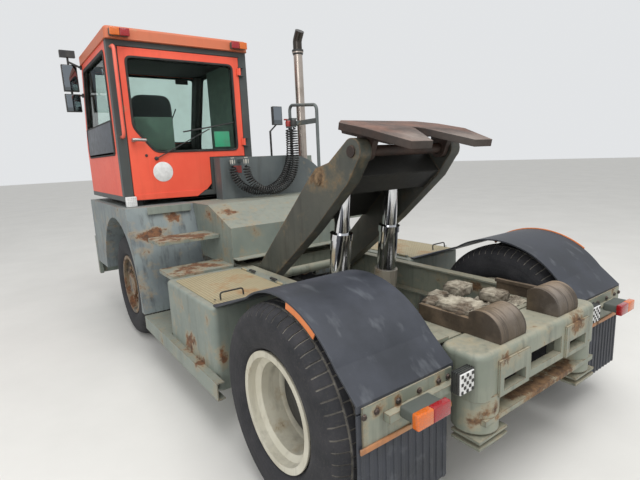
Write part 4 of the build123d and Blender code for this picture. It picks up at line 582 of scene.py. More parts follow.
cab_enamel = painted_steel(
    "cab_enamel", "#E2523A", "#E85C42", gloss=0.46, rust=0.02, edge_wear=0.1, dust="#C9826A",
    dust_share=0.3, grime="#C24A30", grime_share=0.25, coat_weight=0.05)
rail_enamel = painted_steel(
    "rail_enamel", "#DE5442", "#E46C58", gloss=0.4, rust=0.1, edge_wear=0.3, grime="#B0492F",
    grime_share=0.3)
roof_enamel = painted_steel(
    "roof_enamel", "#C86A47", "#BC6B4B", gloss=0.5, rust=0.1, edge_wear=0.4, dust="#A98470", dust_share=0.6,
    grime="#A05A40", grime_share=0.25)
chassis_enamel = painted_steel(
    "chassis_enamel", "#737C75", "#848B81", rust=0.45, edge_wear=0.8, dust="#9A9585", dust_share=0.6,
    blooms=(
        ((0.23, 0.50, 1.24), (0.34, 0.26, 0.12), 0.24), ((-0.62, 1.2, 0.50), (0.20, 0.06, 0.13), 0.27),
        ((-0.80, 1.2, 0.40), (0.10, 0.06, 0.10), 0.24), ((-1.04, 1.15, 0.50), (0.05, 0.06, 0.17), 0.27),
        ((0.05, 0.9, 0.87), (0.35, 0.4, 0.05), 0.26), ((0.28, 0.9, 1.105), (0.35, 0.4, 0.04), 0.30),
    ))
stand_enamel = painted_steel("stand_enamel", "#565D5E", "#626867", rust=0.2, edge_wear=0.4, grime_share=0.4)
wing_enamel = painted_steel(
    "wing_enamel", "#6B7376", "#7F8887", rust=0.45, edge_wear=0.7, grime="#36383A", grime_share=0.7,
    blooms=(
        ((0.66, 0.86, 1.25), (0.10, 0.12, 0.10), 0.28), ((0.62, 1.08, 1.10), (0.20, 0.26, 0.08), 0.28),
        ((0.70, 0.95, 1.15), (0.2, 0.12, 0.05), 0.22), ((0.45, 1.20, 0.60), (0.15, 0.10, 0.20), 0.22),
    ))
frame_enamel = painted_steel(
    "frame_enamel", "#767C70", "#8A8D7E", rust=0.5, edge_wear=1.0, dust="#A29A86", dust_share=0.85,
    grime_share=0.5, stain_tone="#A3967A", bright_rust="#86684A",
    blooms=(
        ((-2.5, 0.31, 0.78), (0.10, 0.20, 0.12), 0.20), ((-2.5, -0.31, 0.78), (0.10, 0.20, 0.12), 0.20),
        ((-2.45, 0.0, 0.52), (0.12, 0.62, 0.035), 0.32), ((-2.39, 0.45, 0.55), (0.14, 0.16, 0.10), 0.22),
        ((-2.39, -0.45, 0.55), (0.14, 0.16, 0.10), 0.22), ((-1.7, -0.53, 0.76), (0.2, 0.05, 0.08), 0.24),
        ((-2.38, 1.14, 0.66), (0.03, 0.05, 0.10), 0.22), ((-2.38, 0.96, 0.75), (0.03, 0.04, 0.05), 0.28),
        ((-2.38, 0.835, 0.75), (0.03, 0.04, 0.05), 0.28), ((-2.38, 0.71, 0.75), (0.03, 0.05, 0.06), 0.28),
        ((-2.38, 1.08, 0.75), (0.03, 0.04, 0.05), 0.28), ((-2.30, 0.15, 0.85), (0.05, 0.10, 0.02), 0.26),
    ))
boom_enamel = painted_steel(
    "boom_enamel", "#42453F", "#53534A", rust=0.45, edge_wear=1.3, edge_mm=12.0, dust="#857B67",
    dust_share=0.6, grime="#23211E", grime_share=0.5, deep_rust="#4B3A2B", bright_rust="#8D7355",
    stain_tone="#77694F",
    # Painted shade: the boom's inner faces, between its side plates, painted near-black.
    painted_shade_place=((-1.35, 0.0, 1.25), (3.0, 0.385, 3.0)),
    blooms=(((-1.18, 0.40, 1.60), (0.28, 0.2, 0.20), 0.20), ((-0.75, 0.40, 1.02), (0.10, 0.2, 0.10), 0.10)))
post_enamel = painted_steel("post_enamel", "#3A3E3F", "#454947", rust=0.05, edge_wear=0.2, grime_share=0.3)
barrel_enamel = painted_steel(
    "barrel_enamel", "#8E897D", "#A09888", rust=0.35, edge_wear=0.6, grime_share=0.5)
rim_enamel = painted_steel(
    "rim_enamel", "#C9C5B5", "#B7B19D", gloss=0.4, rust=0.3, edge_wear=0.5, grime="#6B6355",
    grime_share=0.4,
    blooms=(((REAR_X, 0.0, AXLE_Z), (0.246, 30.0, 0.246), 0.16),),
    # Painted shade: the rim's deep dish painted near-black.
    painted_shade_place=((REAR_X, 0.0, AXLE_Z), (0.230, 30.0, 0.230)))
hub_enamel = painted_steel("hub_enamel", "#4E4338", "#403B36", rust=1.1, edge_wear=1.0, grime_share=0.6)
# Painted shade below: the coupling plate's, the ramps' and the castings' faces that don't look up are
# darkened.
coupling_iron = worn_iron(
    "coupling_iron", "#74503F", "#4A3B33", rubbed_place=((-1.86, 0.0, 1.86), (0.22, 0.6, 0.3)),
    painted_shade_below=0.75)
ramp_iron = worn_iron(
    "ramp_iron", "#8A7660", "#66563F", rubbed_place=((-2.42, 0.0, 0.92), (0.12, 0.6, 0.16)), groove=True,
    painted_shade_below=0.5)
caked_casting = worn_iron(
    "caked_casting", "#B0A896", "#57493A", polish="#C4BDAF", gloss=0.8, grain_mm=70.0, cloud_mm=110.0,
    metallic=0.0, painted_shade_below=0.35)
deck_plate = chequer_steel("deck_plate", "#BDB18F", "#8F8468")
dark_steel = worn_iron("dark_steel", "#353431", "#262523", polish="#5A554E", metallic=0.1)
guard_rubber = guard_rubber_sheet("guard_rubber", "#2B2E34", "#3E4149")
tyre_compound = tyre_rubber_compound("tyre_compound")
rod_chrome = hard_chrome("rod_chrome")
stack_tube = stainless_tube("stack_tube", soot_z=2.90)
silencer_wrap = stainless_tube("silencer_wrap", "#C9C9C6", 0.5)
black_moulding = moulded_plastic("black_moulding", "#17181A")
grey_moulding = moulded_plastic("grey_moulding", "#4D534D", 0.6)
lining = moulded_plastic("lining", "#1B1E20", 0.75)
lining_grey = moulded_plastic("lining_grey", "#6C8074", 0.7)
panel_grey = moulded_plastic("panel_grey", "#474D57", 0.45)
pale_fitting = moulded_plastic("pale_fitting", "#CFCBBE", 0.5)
coil_nylon = moulded_plastic("coil_nylon", "#141518", 0.3, 1.5)
seal_rubber = moulded_plastic("seal_rubber", "#101112", 0.7)
pale_sign = moulded_plastic("pale_sign", "#ECECEA", 0.4)
green_sign = moulded_plastic("green_sign", "#2E9C72", 0.4)
red_enamel = moulded_plastic("red_enamel", "#A2302A", 0.4)
bright_steel = stainless_tube("bright_steel", "#A9AAA8", 0.35)
orange_edge = painted_steel("orange_edge", "#B5713F", "#A8754C", rust=0.75, edge_wear=0.8, dust_share=0.2)
orange_flange = painted_steel(
    "orange_flange", "#E2864F", "#D8793F", rust=0.1, edge_wear=0.3, dust_share=0.1)
red_lens = lamp_lens("red_lens", "#9E1019")
amber_lens = lamp_lens("amber_lens", "#D96A1C")
clear_lens = lamp_lens("clear_lens", "#D9DAD6")
glass = window_glass("window_glass")
mirror_glass = silvered_glass("mirror_glass", "#7E858B")
seat_cloth = woven_cloth("seat_cloth", "#1B1C1F", "#26272B")

FINISHES = {
    chassis_enamel: ("battery_box", "right_box", "deck_steps", "front_bumper", "hood"),
    stand_enamel: ("coupling_stand",),
    wing_enamel: ("front_fenders",),
    frame_enamel: ("chassis_frame", "rear_beam"),
    deck_plate: ("battery_lid", "right_lid"),
    ramp_iron: ("guide_ramps",),
    dark_steel: ("rear_axle", "front_axle", "powertrain", "knuckle_left", "knuckle_right"),
    guard_rubber: ("rear_mudguards",),
    post_enamel: ("cab_rear_frame", "cab_floor"),
    cab_enamel: ("cab_side_walls", "cab_front_wall", "rear_door"),
    roof_enamel: ("cab_roof",),
    glass: ("cab_glass", "door_glass"),
    seat_cloth: ("seat",),
    black_moulding: ("steering_console", "mirrors", "lamps"),
    stack_tube: ("exhaust",),
    coil_nylon: ("coil_one", "coil_two"),
    boom_enamel: ("boom",),
    coupling_iron: ("fifth_wheel", "plate_pin"),
    barrel_enamel: ("lift_barrels",),
    rod_chrome: ("lift_stages", "lift_rods"),
    rim_enamel: ("rear_rims_left", "rear_rims_right"),
    hub_enamel: ("front_rim_left", "front_rim_right"),
    tyre_compound: ("front_tyre_left", "front_tyre_right", "rear_tyres_left", "rear_tyres_right"),
}
for finish, members in FINISHES.items():
    for member in members:
        nodes[member].data.materials.clear()
        nodes[member].data.materials.append(finish)


# Tyres

TREAD_HALF = 0.118
TREAD_DEPTH = 0.010
RIB_GROOVES = (-0.066, -0.022, 0.022, 0.066)
GROOVE_W = 0.009
BLOCKS = 60
CROSS_GROOVE = 0.15
BEAD_T = radians(52)
SECTION_POWER = 2 / 2.9
SECTION_HALF = 0.125
SHOULDER = 0.045
GROOVE_WALL = 0.0015
CUT_WALL = 0.012


def tyre_section(turn):
    """Place across and radius on a tyre's section: a squared oval between the bead and the tread."""
    y = TYRE_WIDTH / 2 * squared(np.cos(turn), SECTION_POWER)
    r = TYRE_RADIUS - SECTION_HALF + SECTION_HALF * squared(np.sin(turn), SECTION_POWER)
    return y, r


def tyre_columns():
    """Angles round the section: even steps, and pairs at both edges of every groove in the tread."""
    turn = np.linspace(-BEAD_T, pi + BEAD_T, 45)
    y, r = tyre_section(turn)
    top = np.abs(y) < TREAD_HALF
    edges = []
    for groove in RIB_GROOVES:
        first, last = groove - GROOVE_W / 2, groove + GROOVE_W / 2
        edges += [first - GROOVE_WALL, first, last, last + GROOVE_WALL]
    fine = np.linspace(0.05, pi - 0.05, 4001)
    fine_y = tyre_section(fine)[0]
    marks = np.interp(-np.array(edges), -fine_y, fine)
    return np.sort(np.concatenate([turn[~(top & (r > TYRE_RADIUS - 0.02))], marks, [pi / 2]]))


def tyre_points(centre_x, centre_y):
    """Tyre: the section turned round the axle, with the tread cut down in rib grooves and staggered cross
    grooves, and how deep each point is cut, as a share."""
    turn = tyre_columns()
    y, r = tyre_section(turn)
    cross = np.array([0.0, CUT_WALL, CROSS_GROOVE - CUT_WALL, CROSS_GROOVE])
    share = ((np.arange(BLOCKS)[:, None] + np.r_[cross, 0.5 + cross]) / BLOCKS).ravel()
    rib = np.searchsorted(RIB_GROOVES, y)
    phase = (share[:, None] * BLOCKS + 0.5 * (rib[None] % 2)) % 1.0
    tread = r[None] > TYRE_RADIUS - SHOULDER
    in_cross = (phase > CUT_WALL / 2) & (phase < CROSS_GROOVE - CUT_WALL / 2) & tread
    in_rib = np.any(np.abs(y[None, :, None] - np.array(RIB_GROOVES)) < GROOVE_W / 2 + 1e-6, axis=2)
    cut = np.where(in_rib, TREAD_DEPTH, np.where(in_cross, TREAD_DEPTH * 0.8, 0.0))
    cut = cut * tread
    radius = r[None] - cut
    angle = share[:, None] * 2 * pi
    x = centre_x + radius * np.cos(angle)
    z = AXLE_Z + radius * np.sin(angle)
    return np.stack([x, centre_y + y[None] + 0 * x, z], axis=-1), cut / TREAD_DEPTH


def tyres(name, centre_x, centres_y, body, node):
    """Tyres of one wheel end, with the cut and the place across the section kept as a map for the rubber's
    pattern."""
    lots, across, cuts = [], [], []
    for centre_y in centres_y:
        points, cut = tyre_points(centre_x, centre_y)
        rows, columns = points.shape[:2]
        lots.append((points, grid_faces(rows, columns, True, False)))
        across.append(np.tile(np.linspace(0, 1, columns), rows))
        cuts.append((cut + np.zeros((rows, columns))).ravel())
    piece = joined(name, lots, body, tyre_compound, 28.0)
    layer = piece.data.uv_layers.new(name="across")
    corner = np.zeros(len(piece.data.loops), np.int32)
    piece.data.loops.foreach_get("vertex_index", corner)
    pattern = np.stack([np.concatenate(cuts), np.concatenate(across)], axis=1)
    layer.data.foreach_set("uv", pattern[corner].ravel())
    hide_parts(node)
    return piece


TWIN_GAP = (rear_tyre_box[1].y - rear_tyre_box[0].y - TYRE_WIDTH) / 2
for side, hand in HANDS:
    rear = side * (rear_tyre_box[0].y + rear_tyre_box[1].y) / 2
    tyres(
        f"rear_treads_{hand}", REAR_X, (rear - TWIN_GAP, rear + TWIN_GAP), f"rear_wheels_{hand}",
        f"rear_tyres_{hand}")
    front = side * (front_tyre_box[0].y + front_tyre_box[1].y) / 2
    tyres(f"front_tread_{hand}", FRONT_X, (front,), f"front_wheel_{hand}", f"front_tyre_{hand}")

# Wheel nuts, in a ring on each disc's outer face
NUT_RING = 0.1675
NUTS = 10
NUT_ACROSS = 0.033
NUT_HEIGHT = 0.030
DISC_HALF = 0.007
WHEEL_ENDS = (
    # axle's place, end, rim node, body, how far the disc stands out from the rim's middle
    (FRONT_X, "front", "front_rim", "front_wheel", 0.067),
    (REAR_X, "rear", "rear_rims", "rear_wheels", 0.0),
)
nut_turns = [k * 2 * pi / NUTS for k in range(NUTS)]
for side, hand in HANDS:
    for x, end, rim_node, wheel, disc_y in WHEEL_ENDS:
        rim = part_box(f"{rim_node}_{hand}")
        face_y = (rim[0].y + rim[1].y) / 2 + side * (disc_y + DISC_HALF)
        places = [(x + NUT_RING * cos(a), face_y, AXLE_Z + NUT_RING * sin(a)) for a in nut_turns]
        bolts(
            f"{end}_wheel_nuts_{hand}", places, (0, side, 0), NUT_ACROSS, NUT_HEIGHT, f"{wheel}_{hand}",
            hub_enamel)

# Curly lines
COIL_RADIUS = 0.044
LINE_RADIUS = 0.0068
COIL_PITCH = 0.0245
TURN_STEPS = 12
COIL_ROUTES = {
    "coil_one": [
        (0.64, 0.19, 1.69), (0.64, 0.19, 1.60), (0.61, 0.135, 1.49), (0.60, 0.025, 1.42),
        (0.60, -0.125, 1.405), (0.605, -0.275, 1.45), (0.62, -0.395, 1.545), (0.64, -0.47, 1.665),
        (0.652, -0.51, 1.80), (0.678, -0.525, 1.93), (0.678, -0.525, 2.06),
    ],
    "coil_two": [
        (0.538, 0.09, 1.69), (0.538, 0.09, 1.60), (0.512, 0.035, 1.49), (0.50, -0.07, 1.42),
        (0.496, -0.215, 1.408), (0.50, -0.35, 1.462), (0.515, -0.45, 1.565), (0.535, -0.50, 1.69),
        (0.558, -0.518, 1.82), (0.582, -0.525, 1.93), (0.582, -0.525, 2.06),
    ],
}


def spline_points(route):
    """Points read from a smooth spline that has the route's points as its control points."""
    curve = bpy.data.curves.new("route", "CURVE")
    curve.dimensions = "3D"
    curve.resolution_u = 24
    line = curve.splines.new("NURBS")
    line.points.add(len(route) - 1)
    line.points.foreach_set("co", np.c_[np.array(route), np.ones(len(route))].ravel())
    line.order_u = 3
    line.use_endpoint_u = True
    holder = bpy.data.objects.new("route", curve)
    mesh = bpy.data.meshes.new_from_object(holder)
    points = np.zeros(len(mesh.vertices) * 3)
    mesh.vertices.foreach_get("co", points)
    bpy.data.objects.remove(holder)
    bpy.data.meshes.remove(mesh)
    return points.reshape(-1, 3)


def even_points(path, count):
    """Path measured off in even steps."""
    run = np.r_[0, np.cumsum(np.linalg.norm(np.diff(path, axis=0), axis=1))]
    steps = np.linspace(0, run[-1], count)
    return np.stack([np.interp(steps, run, path[:, k]) for k in range(3)], axis=1), run[-1]


def curly_line(node_name, route):
    """Helix round the route: the line leaves the middle, winds at the coil's radius and comes back."""
    name = node_name.replace("coil", "curly_line")
    length = even_points(spline_points(route), 10)[1]
    turns = int((length - 0.05) / COIL_PITCH)
    count = turns * TURN_STEPS + 1
    path, length = even_points(spline_points(route), count)
    ahead = unit(np.gradient(path, axis=0))
    side = np.zeros_like(path)
    side[0] = unit(np.cross(ahead[0], (1.0, 0.0, 0.0)))
    for i in range(1, count):
        side[i] = unit(side[i - 1] - ahead[i] * np.dot(side[i - 1], ahead[i]))
    top = np.cross(ahead, side)
    share = np.linspace(0, 1, count)
    swell = np.clip(np.minimum(share, 1 - share) / 0.025, 0, 1)
    radius = (COIL_RADIUS - LINE_RADIUS - 0.001) * swell * swell * (3 - 2 * swell)
    phase = share * turns * 2 * pi
    winding = path + radius[:, None] * (np.cos(phase)[:, None] * side + np.sin(phase)[:, None] * top)
    curve = bpy.data.curves.new(name, "CURVE")
    curve.dimensions = "3D"
    curve.resolution_u = 1
    curve.bevel_depth = LINE_RADIUS
    curve.bevel_resolution = 1
    curve.use_fill_caps = True
    line = curve.splines.new("NURBS")
    line.points.add(count - 1)
    line.points.foreach_set("co", np.c_[winding, np.ones(count)].ravel())
    line.order_u = 3
    line.use_endpoint_u = True
    curve.materials.append(coil_nylon)
    piece = bpy.data.objects.new(name, curve)
    bpy.context.scene.collection.objects.link(piece)
    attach(piece, "chassis")
    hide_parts(node_name)
    return piece


for node_name, route in COIL_ROUTES.items():
    curly_line(node_name, route)


# Trims

def lots_piece(name, boxes, edge, body, finish):
    """Several rounded blocks between low and high corners, as one piece."""
    return weld(joined(name, [block_points(low, high, edge) for low, high in boxes], body, finish))


def mirrored(boxes):
    """Boxes together with their images on the machine's other side."""
    return boxes + [((l[0], -h[1], l[2]), (h[0], -l[1], h[2])) for l, h in boxes]


def sided(side, low, high):
    """Box given for the left side, on the side asked for, with its corners in order."""
    near_y, far_y = sorted((side * low[1], side * high[1]))
    return (low[0], near_y, low[2]), (high[0], far_y, high[2])


def seal(name, corners, radius, width, depth, normal, body, finish):
    """Rubber section carried round an opening's rounded outline, flat on the face it seals."""
    corners = np.asarray(corners, float)
    start = (corners[0] + corners[-1]) / 2
    path = bent_path(np.vstack([start, corners, start]), radius)[:-1]
    return bar_piece(name, flat_bar(width, depth, depth * 0.3), path, body, finish, normal, True)


def tube(name, corners, radius, bend, body, finish, steps=12):
    """Round bar along straight runs with rounded bends."""
    path = bent_path(corners, bend)
    up = (0.31, 0.17, 0.93) if abs(unit(path[-1] - path[0])[2]) < 0.9 else (1.0, 0.1, 0.0)
    return bar_piece(name, circle(radius, steps), path, body, finish, up)


WELT = 0.03
DRAWN_IN = 0.025
ROUND_UP = 0.42
ROUND_PLAN = 0.3


def padding(name, low, high, lean, body):
    """Upholstered block: a squared ball, sides drawn in, a welt round its middle, tipped by a lean."""
    low, high = np.asarray(low, float), np.asarray(high, float)
    up_turn, round_turn = np.meshgrid(
        np.linspace(-pi / 2, pi / 2, 25), np.linspace(0, 2 * pi, 64, endpoint=False))
    ring = squared(np.cos(up_turn), ROUND_UP)
    height = squared(np.sin(up_turn), ROUND_UP)
    bead = WELT * np.exp(-((height / 0.10) ** 2))
    waist = DRAWN_IN * np.exp(-(((np.abs(height) - 0.26) / 0.12) ** 2))
    swell = 1.0 + bead - waist
    x = ring * squared(np.cos(round_turn), ROUND_PLAN) * swell
    y = ring * squared(np.sin(round_turn), ROUND_PLAN) * swell
    points = np.stack([x, y, height], -1) * (high - low) / 2 / (1 + WELT)
    tip = np.array([[cos(lean), 0, sin(lean)], [0, 1, 0], [-sin(lean), 0, cos(lean)]])
    points = points @ tip.T + (low + high) / 2
    faces = grid_faces(*points.shape[:2], True, False)
    piece = weld(new_piece(name, points, faces, body, seat_cloth, 60.0), 1e-4)
    return piece


# Lamps: housings for the frame's solids, then their lenses
HEAD_LAMP = ((2.482, 0.782, 0.682), (2.520, 1.078, 0.838))
TAIL_LAMP = ((-2.505, 0.824, 0.710), (-2.419, 0.992, 0.760))
WORK_LAMP = ((-2.462, 0.568, 0.694), (-2.421, 0.672, 0.798))
ROOF_LAMPS = [
    ((0.775, 1.012, 2.850), (0.828, 1.178, 2.912)), ((0.775, -0.130, 2.850), (0.828, 0.036, 2.912))]
housings = lots_piece(
    "lamp_housings", mirrored([HEAD_LAMP, TAIL_LAMP, WORK_LAMP]) + ROOF_LAMPS, 0.010, "chassis",
    grey_moulding)
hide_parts("lamps")
amber = [((-2.531, 0.913, 0.702), (-2.496, 1.003, 0.767))]
red = [((-2.531, 0.811, 0.702), (-2.498, 0.912, 0.767))]
roof_red = [((0.764, 1.012, 2.848), (0.780, 1.094, 2.914)), ((0.764, -0.046, 2.848), (0.780, 0.038, 2.914))]
roof_amber = [
    ((0.764, 1.096, 2.848), (0.780, 1.178, 2.914)), ((0.764, -0.130, 2.848), (0.780, -0.048, 2.914))]
front_amber = [((2.516, 1.086, 0.690), (2.533, 1.150, 0.830))]
lots_piece("amber_lenses", mirrored(amber + front_amber) + roof_amber, 0.006, "chassis", amber_lens)
lots_piece("red_lenses", mirrored(red) + roof_red, 0.006, "chassis", red_lens)
lots_piece(
    "head_lenses", mirrored([((2.514, 0.800, 0.695), (2.527, 1.060, 0.825))]), 0.006, "chassis", clear_lens)
lots_piece(
    "work_lamp_faces", mirrored([((-2.468, 0.572, 0.698), (-2.460, 0.668, 0.794))]), 0.003, "chassis",
    pale_sign)
lots_piece(
    "work_lamp_fins",
    mirrored([((-2.462 + 0.011 * i, 0.565, 0.702), (-2.457 + 0.011 * i, 0.677, 0.801)) for i in range(4)]),
    0.001, "chassis", black_moulding)
reflector, reflector_faces = block_points((-0.0075, -0.0075, -0.002), (0.0075, 0.0075, 0.002), 0.002, 2)
led_frames = [
    face_frame((-2.469, side * (0.584 + 0.018 * column), 0.709 + 0.0185 * row), (-1, 0, 0))
    for side in (1, -1) for column in range(5) for row in range(5) if (row + column) % 2 == 0
]
joined("work_lamp_leds", [repeated(reflector, reflector_faces, led_frames)], "chassis", black_moulding)

# Rear hubs: the wide greasy drum that fills the dish, with its raised cover
DRUM = [
    (0.0, 0.150), (0.0, 0.193), (0.078, 0.193), (0.096, 0.186), (0.106, 0.168), (0.106, 0.092),
    (0.113, 0.084), (0.113, 0.0)]
for side, hand in HANDS:
    turned(
        f"rear_drum_{hand}", DRUM, (REAR_X, side * 0.9465, AXLE_Z), (0, side, 0), f"rear_wheels_{hand}",
        dark_steel, 72)

# Guards: bolted plates, the rusty bar along the flap and the painted flange under the outer edge
GUARD_BOLT_Y = (1.145, 1.08, 0.96, 0.835, 0.71, 0.648)
guard_bolts = [(-2.3832, side * y, 0.752) for side in (1, -1) for y in GUARD_BOLT_Y]
bolts("guard_bolts", guard_bolts, (-1, 0, 0), 0.019, 0.009, "chassis", coupling_iron)
lots_piece(
    "flap_bars", mirrored([((-2.392, 0.625, 0.600), (-2.382, 1.170, 0.624))]), 0.003, "chassis", orange_edge)
FLANGES = (
    # hand, place across, first and last angle in degrees, radius
    ("left", 1.166, 99.0, 124.0, 0.557),
    ("right", -1.176, 50.0, 126.0, 0.578),
)
for hand, flange_y, first, last, radius in FLANGES:
    arc_turn = np.radians(np.arange(first, last, 1.5))
    arc = [(REAR_X + radius * cos(a), flange_y, AXLE_Z + radius * sin(a)) for a in arc_turn]
    bar_piece(
        f"guard_flange_{hand}", flat_bar(0.034, 0.006, 0.001), arc, "chassis", orange_flange,
        (0.0, 1.0, 0.0))

# Rear door: seal, wiper, blank plates, plug and lever
DOOR_FACE = CAB_BACK_X + 0.057
DOOR_WINDOW = [(1.050, 2.700), (0.013, 2.700), (0.013, 1.850), (0.870, 1.850), (1.050, 2.080)]
DOOR_SEALS = (
    # name, how far inwards of the door's face, width, depth
    ("door_reveal", 0.021, 0.010, 0.044),
    ("door_seal", -0.002, 0.020, 0.012),
    ("door_seal_inner", 0.040, 0.034, 0.010),
)
for name, inwards, width, depth in DOOR_SEALS:
    outline = [(DOOR_FACE + inwards, y, z) for y, z in DOOR_WINDOW]
    seal(name, outline, 0.05, width, depth, (1, 0, 0), "rear_door", seal_rubber)
skirt = [(1.108, 1.458), (1.108, 1.408), (0.50, 1.398), (0.405, 1.458)]
skirt_points = [(x, y, z) for x in (DOOR_FACE - 0.006, DOOR_FACE - 0.0005) for y, z in skirt]
skirt_faces = [(0, 1, 2, 3), (7, 6, 5, 4), *grid_faces(2, 4, False, True)]
weld(new_piece("door_skirt", skirt_points, skirt_faces, "rear_door", cab_enamel))
turned(
    "door_sign", [(0, 0), (0, 0.094), (0.002, 0.095), (0.0028, 0.0935), (0.0028, 0)],
    (DOOR_FACE, 0.82, 1.66), (-1, 0, 0), "rear_door", pale_sign)
block(
    "glass_plate", (DOOR_FACE + 0.0115, 0.090, 1.884), (DOOR_FACE + 0.0138, 0.258, 2.040), 0.001,
    "rear_door", green_sign)
turned(
    "wiper_plug", [(0, 0), (0, 0.013), (0.006, 0.013), (0.009, 0.009), (0.009, 0)],
    (DOOR_FACE, 0.961, 1.820), (-1, 0, 0), "rear_door", black_moulding, 20)
turned(
    "wiper_hub", [(0, 0), (0, 0.019), (0.016, 0.017), (0.022, 0.010), (0.022, 0)],
    (DOOR_FACE, 0.871, 1.789), (-1, 0, 0), "rear_door", black_moulding, 20)
wiper_x = DOOR_FACE - 0.018
tube(
    "wiper_arm", [(wiper_x, 0.871, 1.789), (wiper_x - 0.004, 0.60, 1.925), (wiper_x + 0.004, 0.316, 2.063)],
    0.0055, 0.03, "rear_door", black_moulding)
tube(
    "wiper_blade",
    [(wiper_x + 0.010, 0.586, 2.036), (wiper_x + 0.008, 0.316, 2.080), (wiper_x + 0.010, 0.046, 2.128)],
    0.007, 0.03, "rear_door", black_moulding)
tube(
    "door_lever",
    [(DOOR_FACE - 0.050, 1.080, 1.964), (DOOR_FACE - 0.054, 1.03, 1.964), (DOOR_FACE - 0.052, 0.962, 1.958)],
    0.0145, 0.02, "rear_door", bright_steel)
block(
    "door_lever_boss", (DOOR_FACE - 0.047, 1.048, 1.944), (DOOR_FACE, 1.082, 1.980), 0.008, "rear_door",
    bright_steel)

# Cab outside: grab rail, side panes, roof gutter and the lamp at the left post's foot
GRAB_X = DOOR_FACE - 0.075
tube(
    "grab_rail",
    [(0.868, 1.160, 2.770), (GRAB_X, 1.155, 2.770), (GRAB_X, 1.155, 1.990), (0.868, 1.160, 1.990)], 0.0155,
    0.05, "chassis", rail_enamel, 16)
SIDE_WINDOW = [(1.015, 1.850), (2.325, 1.850), (2.325, 1.960), (2.060, 2.760), (1.015, 2.760)]
SIDE_SEALS = (
    # name, how far outwards of the cab's side, width, depth, finish
    ("side_seal", 0.002, 0.034, 0.012, seal_rubber),
    ("side_seal_inner", -0.051, 0.040, 0.010, lining),
    ("side_reveal", -0.025, 0.010, 0.054, seal_rubber),
)
CAB_LEFT_Y = 1.200
CAB_RIGHT_Y = -0.152
for side, face, hand in ((1, CAB_LEFT_Y, "left"), (-1, CAB_RIGHT_Y, "right")):
    for name, outwards, width, depth, finish in SIDE_SEALS:
        outline = [(x, face + side * outwards, z) for x, z in SIDE_WINDOW]
        seal(f"{name}_{hand}", outline, 0.04, width, depth, (0, 1, 0), "chassis", finish)
block("side_panel_left", (1.030, 1.196, 1.835), (2.312, 1.208, 2.150), 0.005, "chassis", panel_grey)
seal(
    "panel_seal_left",
    [(1.030, 1.206, 1.838), (2.312, 1.206, 1.838), (2.312, 1.206, 2.150), (1.030, 1.206, 2.150)], 0.03,
    0.016, 0.008, (0, 1, 0), "chassis", seal_rubber)
SCREEN_RAKE = -0.290 / 0.875
SCREEN_FOOT_X = 2.450
SCREEN_FOOT_Z = 1.960
SCREEN_NORMAL = (0.9492, 0.0, 0.3146)
SCREEN_WINDOW = [(1.130, 1.990), (-0.082, 1.990), (-0.082, 2.775), (1.130, 2.775)]


def on_screen(y, z, off):
    """Place on the raked windscreen at a height, set off from it lengthwise."""
    return SCREEN_FOOT_X + SCREEN_RAKE * (z - SCREEN_FOOT_Z) + off, y, z


screen = [on_screen(y, z, 0.003) for y, z in SCREEN_WINDOW]
seal("screen_seal", screen, 0.06, 0.040, 0.012, SCREEN_NORMAL, "chassis", seal_rubber)
seal(
    "screen_reveal", [(x - 0.026, y, z - 0.009) for x, y, z in screen], 0.06, 0.010, 0.046, SCREEN_NORMAL,
    "chassis", seal_rubber)
for y in (0.30, 0.80):
    arm = [(SCREEN_FOOT_X, y, 1.930), (2.462, y, 1.990), on_screen(y - 0.16, 2.420, 0.020)]
    tube(f"front_wiper_{int(y * 100)}", arm, 0.007, 0.02, "chassis", black_moulding)
seal(
    "roof_gutter",
    [(0.831, 1.209, 2.840), (2.197, 1.209, 2.840), (2.197, -0.161, 2.840), (0.831, -0.161, 2.840)], 0.045,
    0.010, 0.012, (0, 0, 1), "chassis", roof_enamel)
block("foot_lamp", (0.818, 1.104, 1.352), (0.866, 1.198, 1.446), 0.006, "chassis", pale_sign)
foot_frames = [
    face_frame((0.8175, 1.119 + 0.016 * i, 1.367 + 0.016 * k), (-1, 0, 0))
    for i in range(5) for k in range(5)
]
joined(
    "foot_lamp_leds", [repeated(reflector * 0.45, reflector_faces, foot_frames)], "chassis", silencer_wrap)
block("front_plate", (2.531, -0.26, 0.50), (2.534, 0.26, 0.61), 0.001, "chassis", pale_sign)

# Cab inside: dark roof lining and pillars, the grey lining of the blind right side, mirror and seat
block("roof_lining", (0.925, -0.098, 2.775), (2.130, 1.146, 2.833), 0.012, "chassis", lining)
block("side_lining_right", (0.945, -0.104, 1.455), (1.760, -0.080, 2.780), 0.008, "chassis", lining_grey)
block("side_lining_left", (0.945, 1.128, 1.455), (1.010, 1.150, 2.780), 0.008, "chassis", lining_grey)
block("floor_mat", (0.93, -0.098, 1.450), (2.38, 1.146, 1.458), 0.004, "chassis", lining)
for y, hand in ((-0.074, "right"), (1.120, "left")):
    foot, head = np.array(on_screen(y, 1.90, -0.118)), np.array(on_screen(y, 2.780, -0.118))
    bar_piece(
        f"pillar_lining_{hand}", flat_bar(0.150, 0.050, 0.010), np.linspace(foot, head, 5), "chassis",
        lining, (0.0, 1.0, 0.0))
lots_piece(
    "wall_linings",
    [
        ((2.385, -0.10, 1.455), (2.398, 1.148, 1.988)), ((1.76, -0.101, 1.455), (2.398, -0.088, 1.848)),
        ((1.00, 1.136, 1.455), (2.398, 1.149, 1.848)), ((0.945, -0.101, 2.762), (2.12, -0.088, 2.80)),
    ],
    0.005, "chassis", lining)
block("cab_mirror", (2.035, 0.050, 2.680), (2.058, 0.205, 2.750), 0.010, "chassis", black_moulding)
tube(
    "cab_mirror_stem", [(2.052, 0.128, 2.740), (2.075, 0.128, 2.790)], 0.006, 0.01, "chassis",
    black_moulding)
